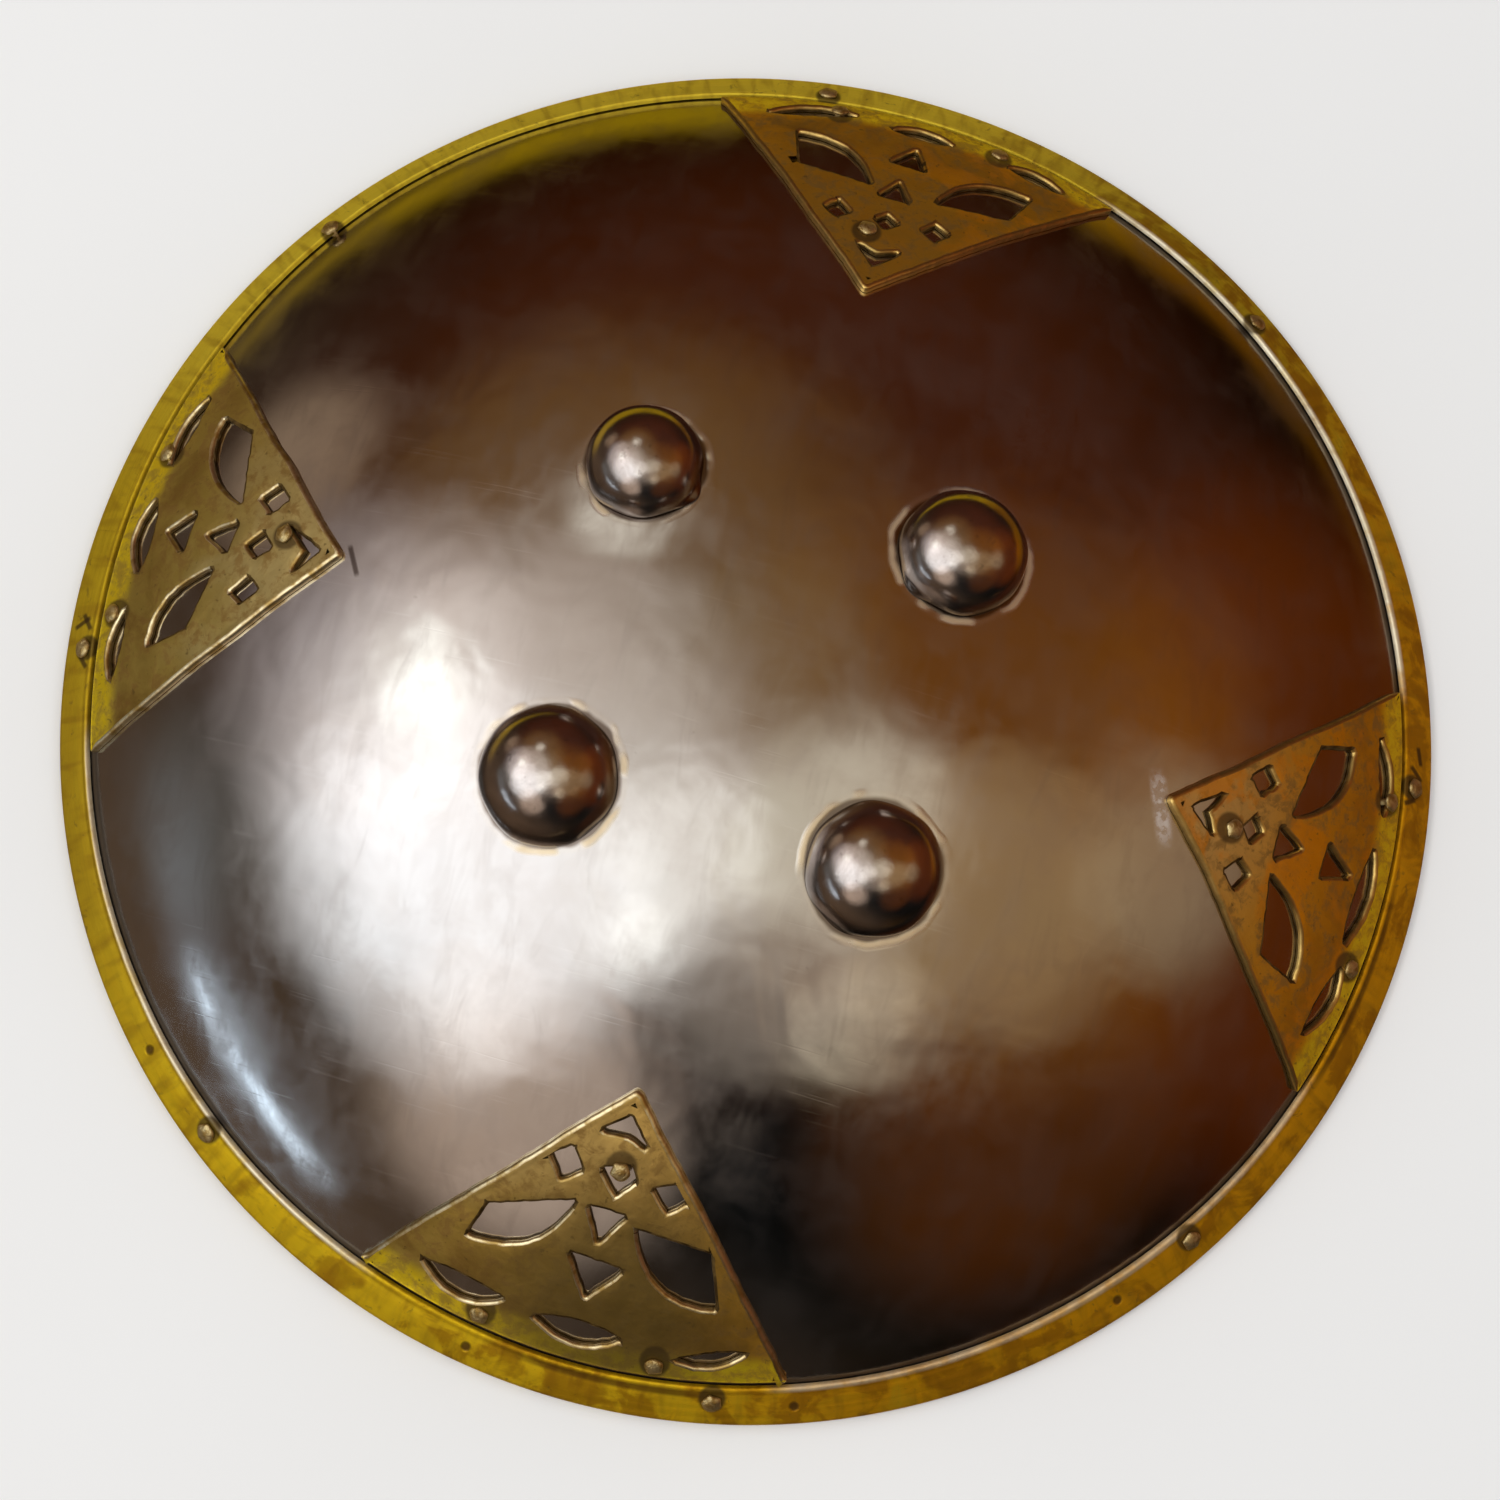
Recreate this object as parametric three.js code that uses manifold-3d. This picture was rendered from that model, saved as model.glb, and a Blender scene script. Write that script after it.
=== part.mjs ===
// A small round shield (buckler) of the Indian dhal type, lying bowl down on its rim.
// A raised steel bowl has a brass band folded over its edge, four pierced brass plates that point at the
// centre, and four hollow steel bosses whose stems go through the bowl and hold two leather grips behind it.
// Units are millimetres. +Z is up, the origin is under the centre on the surface that the rim rests on,
// and the plates point along X and Y.

import * as THREE from 'three';
import { mergeVertices } from 'three/addons/utils/BufferGeometryUtils.js';
import Module from 'manifold-3d';

// Fits and facets
const GAP = 0.3;                    // clearance between pieces that touch
const SEGMENTS = 40;                // facets round the shield
const RING_STEP = 7;                // most degrees of the bowl's slope between two rings of facets
const HOLE_SIDES = 6;               // facets of a drilled hole
const ROUND_SIDES = 8;              // facets of a rivet
const BOSS_SIDES = 16;              // facets of a boss

// Steel bowl
const SHIELD_RADIUS = 152.5;        // over the folded rim: a 305 mm shield
const STEEL = 1.5;                  // sheet thickness
const BOWL_RADIUS = 219;            // of the sphere that the bowl's face follows
const FLANGE_WIDTH = 9.5;           // from the flange's inner edge out to the shield's edge
const FLANGE_SLOPE = 38;            // degrees
const FLARE_RADIUS = 8;             // of the hollow between bowl and flange

// Brass band folded over the edge
const RIM_BRASS = 1.0;              // sheet thickness
const RIM_FRONT_WIDTH = 8.8;        // of the band on the face, from the shield's edge
const RIM_BACK_WIDTH = 8.2;         // of the band behind
const FOLD_STEPS = 4;               // facets over the rounded edge

// Pierced corner plates
const PLATE_BRASS = 1.2;            // sheet thickness
const PLATE_LENGTH = 55.8;          // from the band to the plate's point, seen from above
const PLATE_HALF_WIDTH = 46.7;      // from the plate's middle line to its corner at the band
const PLATE_POINT_ROUND = 1.6;      // radius of the rounded point
const PIERCING_DRIFT = [[-0.3, 0.2], [0.9, 0.8], [0.7, -1.2], [-2.6, 1.5]]; // how far off each pattern is cut

// Piercings: distances in from the band, and to the side of the plate's middle line
const ARROW = { point: 48.8, notch: 45.4, back: 42.8, half: 5.2 };
const DIAMOND = { centre: 35, half: 2.9, wide: 2.4 };
const SQUARE = { centre: 35, side: 11.2, half: 3.2 };
const PETAL = { tip: [26.8, 7.5], innerEnd: [24.5, 23.4], outerEnd: [15.8, 26.7], bulge: [12.8, 12.4] };
const TRIANGLES = [{ back: 29, half: 3.9, tip: 23.2 }, { back: 17.8, half: 4.7, tip: 11 }];
const CRESCENT = { inset: 5.2, middleHalf: 8.2, sideHalf: 6.5, side: 28.4, depth: 3.6, back: 0.7 };

// Rivets
const RIVET_SHANK = 1.1;            // radius
const PLATE_RIVET = { head: 2.2, rise: 1.1, tail: 1.9, tailRise: 0.8 };
const RIM_RIVET = { head: 2.3, rise: 1.1, tail: 1.7, tailRise: 0.5 };
const POINT_RIVET_INSET = 40.4;     // in from the band
const POINT_RIVET_DRIFT = [-1.7, 4.4, -3.1, 1.6];     // to the side, plate by plate
const BASE_RIVET_INSET = 3.2;       // in from the band
const BASE_RIVET_SIDE = 18.9;       // either side of the plate's middle line, along the band
const RIM_RIVET_COUNT = 8;
const RIM_RIVET_INSET = 5.6;        // in from the shield's edge
const RIM_RIVET_START = 10.3;       // degrees
const RIM_RIVET_DRIFT = [-0.6, -0.9, -1.3, 1.2, 0.3, -1.0, 2.5, 0.1]; // degrees, rivet by rivet

// Bosses
const BOSS_CIRCLE = 47.5;           // from the centre of the shield to each boss
const BOSS_RADII = [13.4, 12.3, 14.3, 13.8];          // hammered up one by one, so they differ
const BOSS_HEIGHT = 0.9;            // of its radius
const BOSS_WALL = 1.2;
const STEM_RADIUS = 2.5;
const STEM_HEAD = { radius: 4, rise: 1.8 };           // peened end behind the washer

// Grips behind the bowl
const GRIP_WIDTH = 22;
const GRIP_LEATHER = 3.2;           // thickness
const WASHER = { radius: 7, thickness: 1.2 };
const GRIP_TOE = 9.5;               // from the stem to the strap's end
const GRIP_HEEL = 0.8;              // from the washer's edge to the bend
const GRIP_DROP = 30;               // how far the middle stands off the foot
const GRIP_BEND = { heel: 7, middle: 34 };            // reach of the curve's handles

const rad = THREE.MathUtils.degToRad;
const slope = rad(FLANGE_SLOPE);

// Radii across the face
const flangeStart = SHIELD_RADIUS - FLANGE_WIDTH;
const rimFront = SHIELD_RADIUS - RIM_FRONT_WIDTH;
const rimBack = SHIELD_RADIUS - RIM_BACK_WIDTH;
const plateEnd = rimFront - GAP;

// The face of the shield seen from the side. The bowl's sphere has its centre on the axis, and every point
// can be moved along its own normal by an offset: 0 is the steel's face, -STEEL its back. The bowl's slope
// where it turns out into the flare is the one that puts the flare's end at the start of the flange.
const flareReach = flangeStart + FLARE_RADIUS * Math.sin(slope);
const edgeSlope = Math.asin(flareReach / (BOWL_RADIUS + FLARE_RADIUS));
const flareCentre = {
  r: flareReach,
  z: (BOWL_RADIUS + FLARE_RADIUS) * Math.cos(edgeSlope),
};
const foldRadius = STEEL / 2 + GAP + RIM_BRASS;
const foldCentreRadius = SHIELD_RADIUS - foldRadius;

function flangeHeight(r, offset) {
  const alongR = r - flareCentre.r + (FLARE_RADIUS - offset) * Math.sin(slope);
  return flareCentre.z - (FLARE_RADIUS - offset) * Math.cos(slope) - alongR * Math.tan(slope);
}

// The fold's underside is dressed flat over the part that would rest on a table, and that flat is z = 0.
const BOWL_CENTRE = foldRadius * Math.cos(slope) - flangeHeight(foldCentreRadius, -STEEL / 2);

function bowlPoint(angle, offset) {
  const reach = BOWL_RADIUS + offset;
  return new THREE.Vector2(reach * Math.sin(angle), BOWL_CENTRE + reach * Math.cos(angle));
}

function flarePoint(angle, offset) {
  const reach = FLARE_RADIUS - offset;
  const z = BOWL_CENTRE + flareCentre.z - reach * Math.cos(angle);
  return new THREE.Vector2(flareCentre.r - reach * Math.sin(angle), z);
}

// A point of the flange whose foot on the steel's face is r from the axis.
function flangePoint(r, offset) {
  const z = BOWL_CENTRE + flangeHeight(r, 0) + offset * Math.cos(slope);
  return new THREE.Vector2(r + offset * Math.sin(slope), z);
}

// From an angle on the bowl out to a radius on the flange, with the same facets at every offset.
function facePath(fromAngle, toRadius, offset) {
  const path = [];
  const rings = Math.max(1, Math.ceil((edgeSlope - fromAngle) / rad(RING_STEP)));
  for (let i = 0; i <= rings; i += 1) {
    path.push(bowlPoint(edgeSlope - ((rings - i) * (edgeSlope - fromAngle)) / rings, offset));
  }
  for (let i = 1; i <= 2; i += 1) {
    path.push(flarePoint(edgeSlope + ((slope - edgeSlope) * i) / 2, offset));
  }
  path.push(flangePoint(toRadius, offset));
  return path;
}

// Rings that cover part of the bowl start where a ring of the whole bowl lies, so their facets match.
function ringAngleInside(radius) {
  const rings = Math.ceil(edgeSlope / rad(RING_STEP));
  const step = edgeSlope / rings;
  return step * Math.floor(Math.asin(radius / BOWL_RADIUS) / step);
}

// Solids
const wasm = await Module();
wasm.setup();

function toSolid(geometry) {
  const bare = geometry.clone();
  bare.deleteAttribute('normal');
  bare.deleteAttribute('uv');
  const merged = mergeVertices(bare, 1e-4);
  const index = merged.index.array;
  const triangles = [];
  for (let i = 0; i < index.length; i += 3) {
    const [a, b, c] = [index[i], index[i + 1], index[i + 2]];
    if (a !== b && b !== c && c !== a) {
      triangles.push(a, b, c);
    }
  }
  const vertProperties = new Float32Array(merged.attributes.position.array);
  const triVerts = new Uint32Array(triangles);
  return new wasm.Manifold(new wasm.Mesh({ numProp: 3, vertProperties, triVerts }));
}

function toGeometry(solid) {
  const mesh = solid.getMesh();
  const geometry = new THREE.BufferGeometry();
  geometry.setAttribute('position', new THREE.BufferAttribute(new Float32Array(mesh.vertProperties), 3));
  geometry.setIndex(new THREE.BufferAttribute(new Uint32Array(mesh.triVerts), 1));
  const flat = geometry.toNonIndexed();
  flat.computeVertexNormals();
  return flat;
}

// Turns a side view (x out from the axis, y up) round the Z axis.
function turned(profile, segments = SEGMENTS) {
  return new THREE.LatheGeometry(profile, segments).rotateX(Math.PI / 2);
}

// Stands a local Z axis on the face of the shield, at a radius and an angle in degrees.
function onFace(radius, angle) {
  const flareStart = BOWL_RADIUS * Math.sin(edgeSlope);
  let tilt = slope;
  let point = flangePoint(radius, 0);
  if (radius < flareStart) {
    tilt = Math.asin(radius / BOWL_RADIUS);
    point = bowlPoint(tilt, 0);
  } else if (radius < flangeStart) {
    tilt = Math.asin((flareCentre.r - radius) / FLARE_RADIUS);
    point = flarePoint(tilt, 0);
  }
  const place = new THREE.Matrix4().makeRotationZ(rad(angle));
  place.multiply(new THREE.Matrix4().makeTranslation(point.x, 0, point.y));
  place.multiply(new THREE.Matrix4().makeRotationY(tilt));
  return place;
}

// How far a flat facet of the bowl lies inside the true surface.
function facetSag(radius) {
  const ring = BOWL_RADIUS * (1 - Math.cos(rad(RING_STEP) / 2));
  const segment = radius * (1 - Math.cos(Math.PI / SEGMENTS)) * Math.sin(edgeSlope);
  return ring + segment;
}

// A straight hole through everything at one place on the face.
function drill(radius, place) {
  const length = 4 * (STEEL + PLATE_BRASS + RIM_BRASS + GRIP_LEATHER);
  const corner = radius / Math.cos(Math.PI / HOLE_SIDES);
  const tool = new THREE.CylinderGeometry(corner, corner, length, HOLE_SIDES).rotateX(Math.PI / 2);
  return toSolid(tool.applyMatrix4(place));
}

// Where everything is fastened
const plateAngles = [0, 90, 180, 270];
const bossAngles = plateAngles.map((angle) => angle + 45);

const plateRivets = [];
plateAngles.forEach((angle, i) => {
  const place = (inset, side) => {
    const radius = plateEnd - inset;
    return onFace(radius, angle + THREE.MathUtils.radToDeg(side / radius));
  };
  const plate = i + 1;
  plateRivets.push({ plate, name: 'point', place: place(POINT_RIVET_INSET, POINT_RIVET_DRIFT[i]) });
  plateRivets.push({ plate, name: 'base_a', place: place(BASE_RIVET_INSET, -BASE_RIVET_SIDE) });
  plateRivets.push({ plate, name: 'base_b', place: place(BASE_RIVET_INSET, BASE_RIVET_SIDE) });
});

const rimRivetPlaces = Array.from({ length: RIM_RIVET_COUNT }, (_, i) => {
  const drift = RIM_RIVET_DRIFT[i % RIM_RIVET_DRIFT.length];
  return onFace(SHIELD_RADIUS - RIM_RIVET_INSET, RIM_RIVET_START + (360 * i) / RIM_RIVET_COUNT + drift);
});

const bossPlaces = bossAngles.map((angle) => onFace(BOSS_CIRCLE, angle));

// Steel bowl
function makeBowl() {
  const front = facePath(0, foldCentreRadius, 0);
  const back = facePath(0, foldCentreRadius, -STEEL);
  const profile = [...back, ...front.reverse()];
  let bowl = toSolid(turned(profile));
  plateRivets.forEach(({ place }) => {
    bowl = bowl.subtract(drill(RIVET_SHANK + GAP, place));
  });
  rimRivetPlaces.forEach((place) => {
    bowl = bowl.subtract(drill(RIVET_SHANK + GAP, place));
  });
  bossPlaces.forEach((place) => {
    bowl = bowl.subtract(drill(STEM_RADIUS + GAP, place));
  });
  return toGeometry(bowl);
}

// Brass band: over the face, round the edge and back underneath, round the steel in its pocket
function makeRim() {
  const pocketEnd = foldCentreRadius + GAP;
  const centre = new THREE.Vector2(foldCentreRadius, foldRadius * Math.cos(slope));
  const round = [];
  const top = Math.PI / 2 - slope;
  for (let i = 0; i <= FOLD_STEPS; i += 1) {
    const angle = top * ((2 * i) / FOLD_STEPS - 1);
    const outward = new THREE.Vector2(Math.cos(angle), Math.sin(angle));
    round.push(outward.multiplyScalar(foldRadius).add(centre));
  }
  const under = -STEEL - GAP;
  const profile = [
    new THREE.Vector2(centre.x - foldRadius * Math.sin(slope), 0),
    ...round,
    flangePoint(rimFront, GAP + RIM_BRASS),
    flangePoint(rimFront, GAP),
    flangePoint(pocketEnd, GAP),
    flangePoint(pocketEnd, under),
    flangePoint(rimBack, under),
    flangePoint(rimBack, under - RIM_BRASS),
  ];
  profile.push(profile[0].clone());
  let rim = toSolid(turned(profile));
  rimRivetPlaces.forEach((place) => {
    rim = rim.subtract(drill(RIVET_SHANK + GAP, place));
  });
  return toGeometry(rim);
}

// Piercings of one plate, drawn with x out from the centre of the shield
const at = ([inset, side]) => new THREE.Vector2(plateEnd - inset, side);

function polygon(points) {
  return new THREE.Path(points.map(at));
}

function petal(side) {
  const corner = ([inset, across]) => at([inset, side * across]).toArray();
  const path = new THREE.Path();
  path.moveTo(...corner(PETAL.tip));
  path.lineTo(...corner(PETAL.innerEnd));
  path.lineTo(...corner(PETAL.outerEnd));
  path.quadraticCurveTo(...corner(PETAL.bulge), ...corner(PETAL.tip));
  return path;
}

function crescent(middle, half) {
  const radius = plateEnd - CRESCENT.inset;
  const around = (side, outward) => {
    const angle = side / radius;
    return [(radius + outward) * Math.cos(angle), (radius + outward) * Math.sin(angle)];
  };
  const path = new THREE.Path();
  path.moveTo(...around(middle - half, 0));
  path.quadraticCurveTo(...around(middle, 2 * CRESCENT.depth), ...around(middle + half, 0));
  path.quadraticCurveTo(...around(middle, -2 * CRESCENT.back), ...around(middle - half, 0));
  return path;
}

function lozenge(centre, side, wide, half) {
  return polygon([[centre + wide, side], [centre, side + half], [centre - wide, side], [centre, side - half]]);
}

function piercings() {
  const holes = [
    polygon([[ARROW.point, 0], [ARROW.back, ARROW.half], [ARROW.notch, 0], [ARROW.back, -ARROW.half]]),
    lozenge(DIAMOND.centre, 0, DIAMOND.wide, DIAMOND.half),
    crescent(0, CRESCENT.middleHalf),
  ];
  [-1, 1].forEach((side) => {
    holes.push(lozenge(SQUARE.centre, side * SQUARE.side, SQUARE.half, SQUARE.half));
    holes.push(petal(side));
    holes.push(crescent(side * CRESCENT.side, CRESCENT.sideHalf));
  });
  TRIANGLES.forEach(({ back, half, tip }) => {
    holes.push(polygon([[back, -half], [tip, 0], [back, half]]));
  });
  return holes;
}

// A triangle with a rounded point; its sides run on past the rim, where the band's edge ends the plate
const platePoint = plateEnd - PLATE_LENGTH;

function plateOutline() {
  const cornerX = Math.sqrt(plateEnd ** 2 - PLATE_HALF_WIDTH ** 2);
  const sideAngle = Math.atan2(PLATE_HALF_WIDTH, cornerX - platePoint);
  const roundCentre = platePoint + PLATE_POINT_ROUND / Math.sin(sideAngle);
  const farX = plateEnd + RIM_FRONT_WIDTH;
  const farY = (farX - platePoint) * Math.tan(sideAngle);
  const outline = new THREE.Shape();
  outline.moveTo(farX, -farY);
  outline.lineTo(farX, farY);
  for (let i = 0; i <= 2; i += 1) {
    const angle = Math.PI / 2 + sideAngle + (i * (Math.PI - 2 * sideAngle)) / 2;
    outline.lineTo(
      roundCentre + PLATE_POINT_ROUND * Math.cos(angle),
      PLATE_POINT_ROUND * Math.sin(angle),
    );
  }
  return outline;
}

const plateLayer = (() => {
  const from = ringAngleInside(platePoint);
  const under = facePath(from, plateEnd, GAP);
  const over = facePath(from, plateEnd, GAP + PLATE_BRASS);
  const profile = [...under, ...over.reverse()];
  profile.push(profile[0].clone());
  return toSolid(turned(profile));
})();

function prism(shape) {
  return toSolid(new THREE.ExtrudeGeometry(shape, { depth: BOWL_RADIUS, bevelEnabled: false }));
}

function makePlate(i) {
  const turn = [0, 0, plateAngles[i]];
  let cutters = null;
  piercings().forEach((hole) => {
    const cutter = prism(new THREE.Shape(hole.getPoints(3)));
    cutters = cutters ? cutters.add(cutter) : cutter;
  });
  const drift = PIERCING_DRIFT[i];
  const outline = prism(plateOutline()).subtract(cutters.translate([drift[0], drift[1], 0]));
  let plate = plateLayer.intersect(outline.rotate(turn));
  plateRivets.filter((rivet) => rivet.plate === i + 1).forEach(({ place }) => {
    plate = plate.subtract(drill(RIVET_SHANK + GAP, place));
  });
  return toGeometry(plate);
}

// A rivet: low domed head, shank through the stack, peened tail
function makeRivet(size, stackTop, stackBottom, place) {
  const top = stackTop + GAP;
  const bottom = stackBottom - GAP;
  const profile = [
    [0, bottom - size.tailRise], [size.tail, bottom], [RIVET_SHANK, bottom],
    [RIVET_SHANK, top], [size.head, top],
    [size.head * 0.72, top + size.rise * 0.72], [0, top + size.rise],
  ];
  return turned(profile.map(([x, y]) => new THREE.Vector2(x, y)), ROUND_SIDES).applyMatrix4(place);
}

// A boss: hollow dome, stem through the bowl, grip and washer, and a peened end
const gripHeel = WASHER.radius + GRIP_HEEL;
const padReach = Math.hypot(Math.max(GRIP_TOE, gripHeel), GRIP_WIDTH / 2);
const gripSeat = Math.sqrt((BOWL_RADIUS - STEEL - facetSag(BOSS_CIRCLE) - GAP) ** 2 - padReach ** 2) - BOWL_RADIUS;
const washerTop = gripSeat - GRIP_LEATHER - GAP;
const stemHeadTop = washerTop - WASHER.thickness - GAP;

function makeBoss(i) {
  const radius = BOSS_RADII[i % BOSS_RADII.length];
  const height = BOSS_HEIGHT * radius;
  const base = GAP - radius ** 2 / (2 * BOWL_RADIUS);
  const inner = radius - BOSS_WALL;
  const innerHeight = height - BOSS_WALL;
  const profile = [
    [0, stemHeadTop - STEM_HEAD.rise], [STEM_HEAD.radius * 0.7, stemHeadTop - STEM_HEAD.rise],
    [STEM_HEAD.radius, stemHeadTop], [STEM_RADIUS, stemHeadTop],
  ];
  const stemAngle = Math.acos(STEM_RADIUS / inner);
  for (let step = 0; step <= 2; step += 1) {
    const angle = stemAngle * (1 - step / 2);
    profile.push([inner * Math.cos(angle), base + innerHeight * Math.sin(angle)]);
  }
  for (let step = 0; step <= 4; step += 1) {
    const angle = (Math.PI / 2) * (step / 4);
    profile.push([radius * Math.cos(angle), base + height * Math.sin(angle)]);
  }
  profile[profile.length - 1][0] = 0;
  return turned(profile.map(([x, y]) => new THREE.Vector2(x, y)), BOSS_SIDES).applyMatrix4(bossPlaces[i]);
}

// A grip: a leather strap with a flat foot under each of two stems and a bow between them for the hand.
// It is drawn in the plane of its two stems, which both point at the centre of the bowl's sphere.
const stemPoint = new THREE.Vector3().setFromMatrixPosition(bossPlaces[0]);
const gripLean = Math.atan2(stemPoint.y, stemPoint.z - BOWL_CENTRE);
const stemAngleInGrip = Math.atan2(stemPoint.x, Math.hypot(stemPoint.y, stemPoint.z - BOWL_CENTRE));

function gripPath() {
  const seat = BOWL_RADIUS + gripSeat - GRIP_LEATHER / 2;
  const out = new THREE.Vector2(Math.sin(stemAngleInGrip), Math.cos(stemAngleInGrip));
  const along = new THREE.Vector2(out.y, -out.x);
  const foot = (reach) => out.clone().multiplyScalar(seat).addScaledVector(along, reach);
  const end = foot(GRIP_TOE);
  const heel = foot(-gripHeel);
  const middle = new THREE.Vector2(0, heel.y - GRIP_DROP);
  const bend = new THREE.CubicBezierCurve(
    heel, heel.clone().addScaledVector(along, -GRIP_BEND.heel),
    new THREE.Vector2(GRIP_BEND.middle, middle.y), middle,
  );
  const half = [end, ...bend.getPoints(7)];
  const mirrored = half.slice(0, -1).reverse().map((p) => new THREE.Vector2(-p.x, p.y));
  return [...half, ...mirrored];
}

function makeGrip(side) {
  const path = gripPath();
  const sides = [[], []];
  path.forEach((point, i) => {
    const before = path[Math.max(0, i - 1)];
    const after = path[Math.min(path.length - 1, i + 1)];
    const direction = after.clone().sub(before).normalize();
    const normal = new THREE.Vector2(-direction.y, direction.x).multiplyScalar(GRIP_LEATHER / 2);
    sides[0].push(point.clone().add(normal));
    sides[1].push(point.clone().sub(normal));
  });
  const outline = new THREE.Shape([...sides[0], ...sides[1].reverse()]);
  const strap = new THREE.ExtrudeGeometry(outline, { depth: GRIP_WIDTH, bevelEnabled: false });
  strap.translate(0, 0, -GRIP_WIDTH / 2).rotateX(Math.PI / 2 - side * gripLean).translate(0, 0, BOWL_CENTRE);
  let grip = toSolid(strap);
  bossPlaces.filter((_, i) => Math.sign(Math.sin(rad(bossAngles[i]))) === side).forEach((place) => {
    grip = grip.subtract(drill(STEM_RADIUS + GAP, place));
  });
  return toGeometry(grip);
}

function makeWasher(place) {
  const inner = STEM_RADIUS + GAP;
  const bottom = washerTop - WASHER.thickness;
  const profile = [
    [inner, bottom], [WASHER.radius, bottom], [WASHER.radius, washerTop], [inner, washerTop], [inner, bottom],
  ];
  return turned(profile.map(([x, y]) => new THREE.Vector2(x, y)), ROUND_SIDES).applyMatrix4(place);
}

// Materials
const finish = {
  steel: { color: 0x8d8481, roughness: 0.25, metalness: 1 },
  brass: { color: 0xb08a3a, roughness: 0.35, metalness: 1 },
  leather: { color: 0x3b2417, roughness: 0.7, metalness: 0 },
};

const group = new THREE.Group();

function add(name, geometry, kind) {
  const mesh = new THREE.Mesh(geometry, new THREE.MeshStandardMaterial(finish[kind]));
  mesh.name = name;
  group.add(mesh);
}

add('steel_bowl', makeBowl(), 'steel');
add('rim_band', makeRim(), 'brass');
plateAngles.forEach((_, i) => add(`pierced_plate_${i + 1}`, makePlate(i), 'brass'));
plateRivets.forEach(({ plate, name, place }) => {
  const stackBottom = -STEEL - facetSag(plateEnd);
  const rivet = makeRivet(PLATE_RIVET, GAP + PLATE_BRASS, stackBottom, place);
  add(`plate_${plate}_rivet_${name}`, rivet, 'brass');
});
rimRivetPlaces.forEach((place, i) => {
  const rivet = makeRivet(RIM_RIVET, GAP + RIM_BRASS, -STEEL - GAP - RIM_BRASS, place);
  add(`rim_rivet_${i + 1}`, rivet, 'brass');
});
bossPlaces.forEach((place, i) => {
  add(`boss_${i + 1}`, makeBoss(i), 'steel');
  add(`grip_washer_${i + 1}`, makeWasher(place), 'steel');
});
[1, -1].forEach((side, i) => add(`grip_strap_${i + 1}`, makeGrip(side), 'leather'));

export default group;
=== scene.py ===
# The looks of a small round Indian shield: polished steel, brass rim and plates, four bosses, two grips.
# Shapes are worked out in millimetres in the CAD model's frame and turned into metres as meshes are made.

import math

import bmesh
import bpy
import numpy as np
from mathutils import Matrix, Vector, geometry


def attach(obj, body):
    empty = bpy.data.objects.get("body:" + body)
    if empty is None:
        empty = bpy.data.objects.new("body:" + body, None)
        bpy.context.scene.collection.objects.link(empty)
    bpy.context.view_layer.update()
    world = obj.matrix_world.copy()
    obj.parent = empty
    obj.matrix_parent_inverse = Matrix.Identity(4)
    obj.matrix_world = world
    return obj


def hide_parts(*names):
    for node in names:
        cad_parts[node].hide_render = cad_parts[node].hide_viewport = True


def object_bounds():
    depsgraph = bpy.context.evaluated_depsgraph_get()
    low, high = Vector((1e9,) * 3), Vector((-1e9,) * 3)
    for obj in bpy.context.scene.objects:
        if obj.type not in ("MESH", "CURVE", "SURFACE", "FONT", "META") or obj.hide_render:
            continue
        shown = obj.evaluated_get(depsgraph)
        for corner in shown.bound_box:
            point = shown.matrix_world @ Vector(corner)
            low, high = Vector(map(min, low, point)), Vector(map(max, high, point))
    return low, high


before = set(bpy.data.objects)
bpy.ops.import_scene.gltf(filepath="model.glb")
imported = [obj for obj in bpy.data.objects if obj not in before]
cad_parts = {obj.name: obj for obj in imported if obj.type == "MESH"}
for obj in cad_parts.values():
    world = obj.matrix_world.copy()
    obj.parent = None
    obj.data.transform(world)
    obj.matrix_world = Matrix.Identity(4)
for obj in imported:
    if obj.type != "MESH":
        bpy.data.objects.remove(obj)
cad_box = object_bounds()

MM = 0.001

# Sizes shared with the CAD model
SHIELD_RADIUS = cad_box[1][0] / MM
STEEL = 1.5
GAP = 0.3
BOWL_RADIUS = 219
FLANGE_WIDTH = 9.5
FLANGE_SLOPE = math.radians(38)
FLARE_RADIUS = 8
RIM_BRASS = 1.0
RIM_FRONT = SHIELD_RADIUS - 8.8
RIM_BACK = SHIELD_RADIUS - 8.2
PLATE_BRASS = 1.2
PLATE_END = RIM_FRONT - GAP
PLATE_ANGLES = [0, 90, 180, 270]
PLATE_TOP = GAP + PLATE_BRASS
POINT_RIVET_INSET = 40.4
POINT_RIVET_DRIFT = [-1.7, 4.4, -3.1, 1.6]
BASE_RIVET_INSET = 3.2
BASE_RIVET_SIDE = 18.9
RIM_RIVET_INSET = 5.6
RIM_RIVET_DRIFT = [-0.6, -0.9, -1.3, 1.2, 0.3, -1.0, 2.5, 0.1]
RIM_RIVET_ANGLES = [10.3 + 45 * i + drift for i, drift in enumerate(RIM_RIVET_DRIFT)]
SHANK = 1.1
SEAT_BEHIND = -STEEL - 0.6
BOSS_CIRCLE = 47.5
BOSS_ANGLES = [45, 135, 225, 315]
BOSS_RADII = [13.4, 12.3, 14.3, 13.8]
BOSS_HEIGHT = 0.9
BOSS_WALL = 1.2
STEM_RADIUS = 2.5
STEM_HEAD_RADIUS = 4
STEM_HEAD_RISE = 1.8
WASHER_RADIUS = 7
WASHER_THICKNESS = 1.2
GRIP_WIDTH = 22
GRIP_LEATHER = 3.2
GRIP_TOE = 9.5
GRIP_HEEL = 0.8
GRIP_DROP = 30
GRIP_BEND_HEEL = 7
GRIP_BEND_MIDDLE = 34

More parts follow.
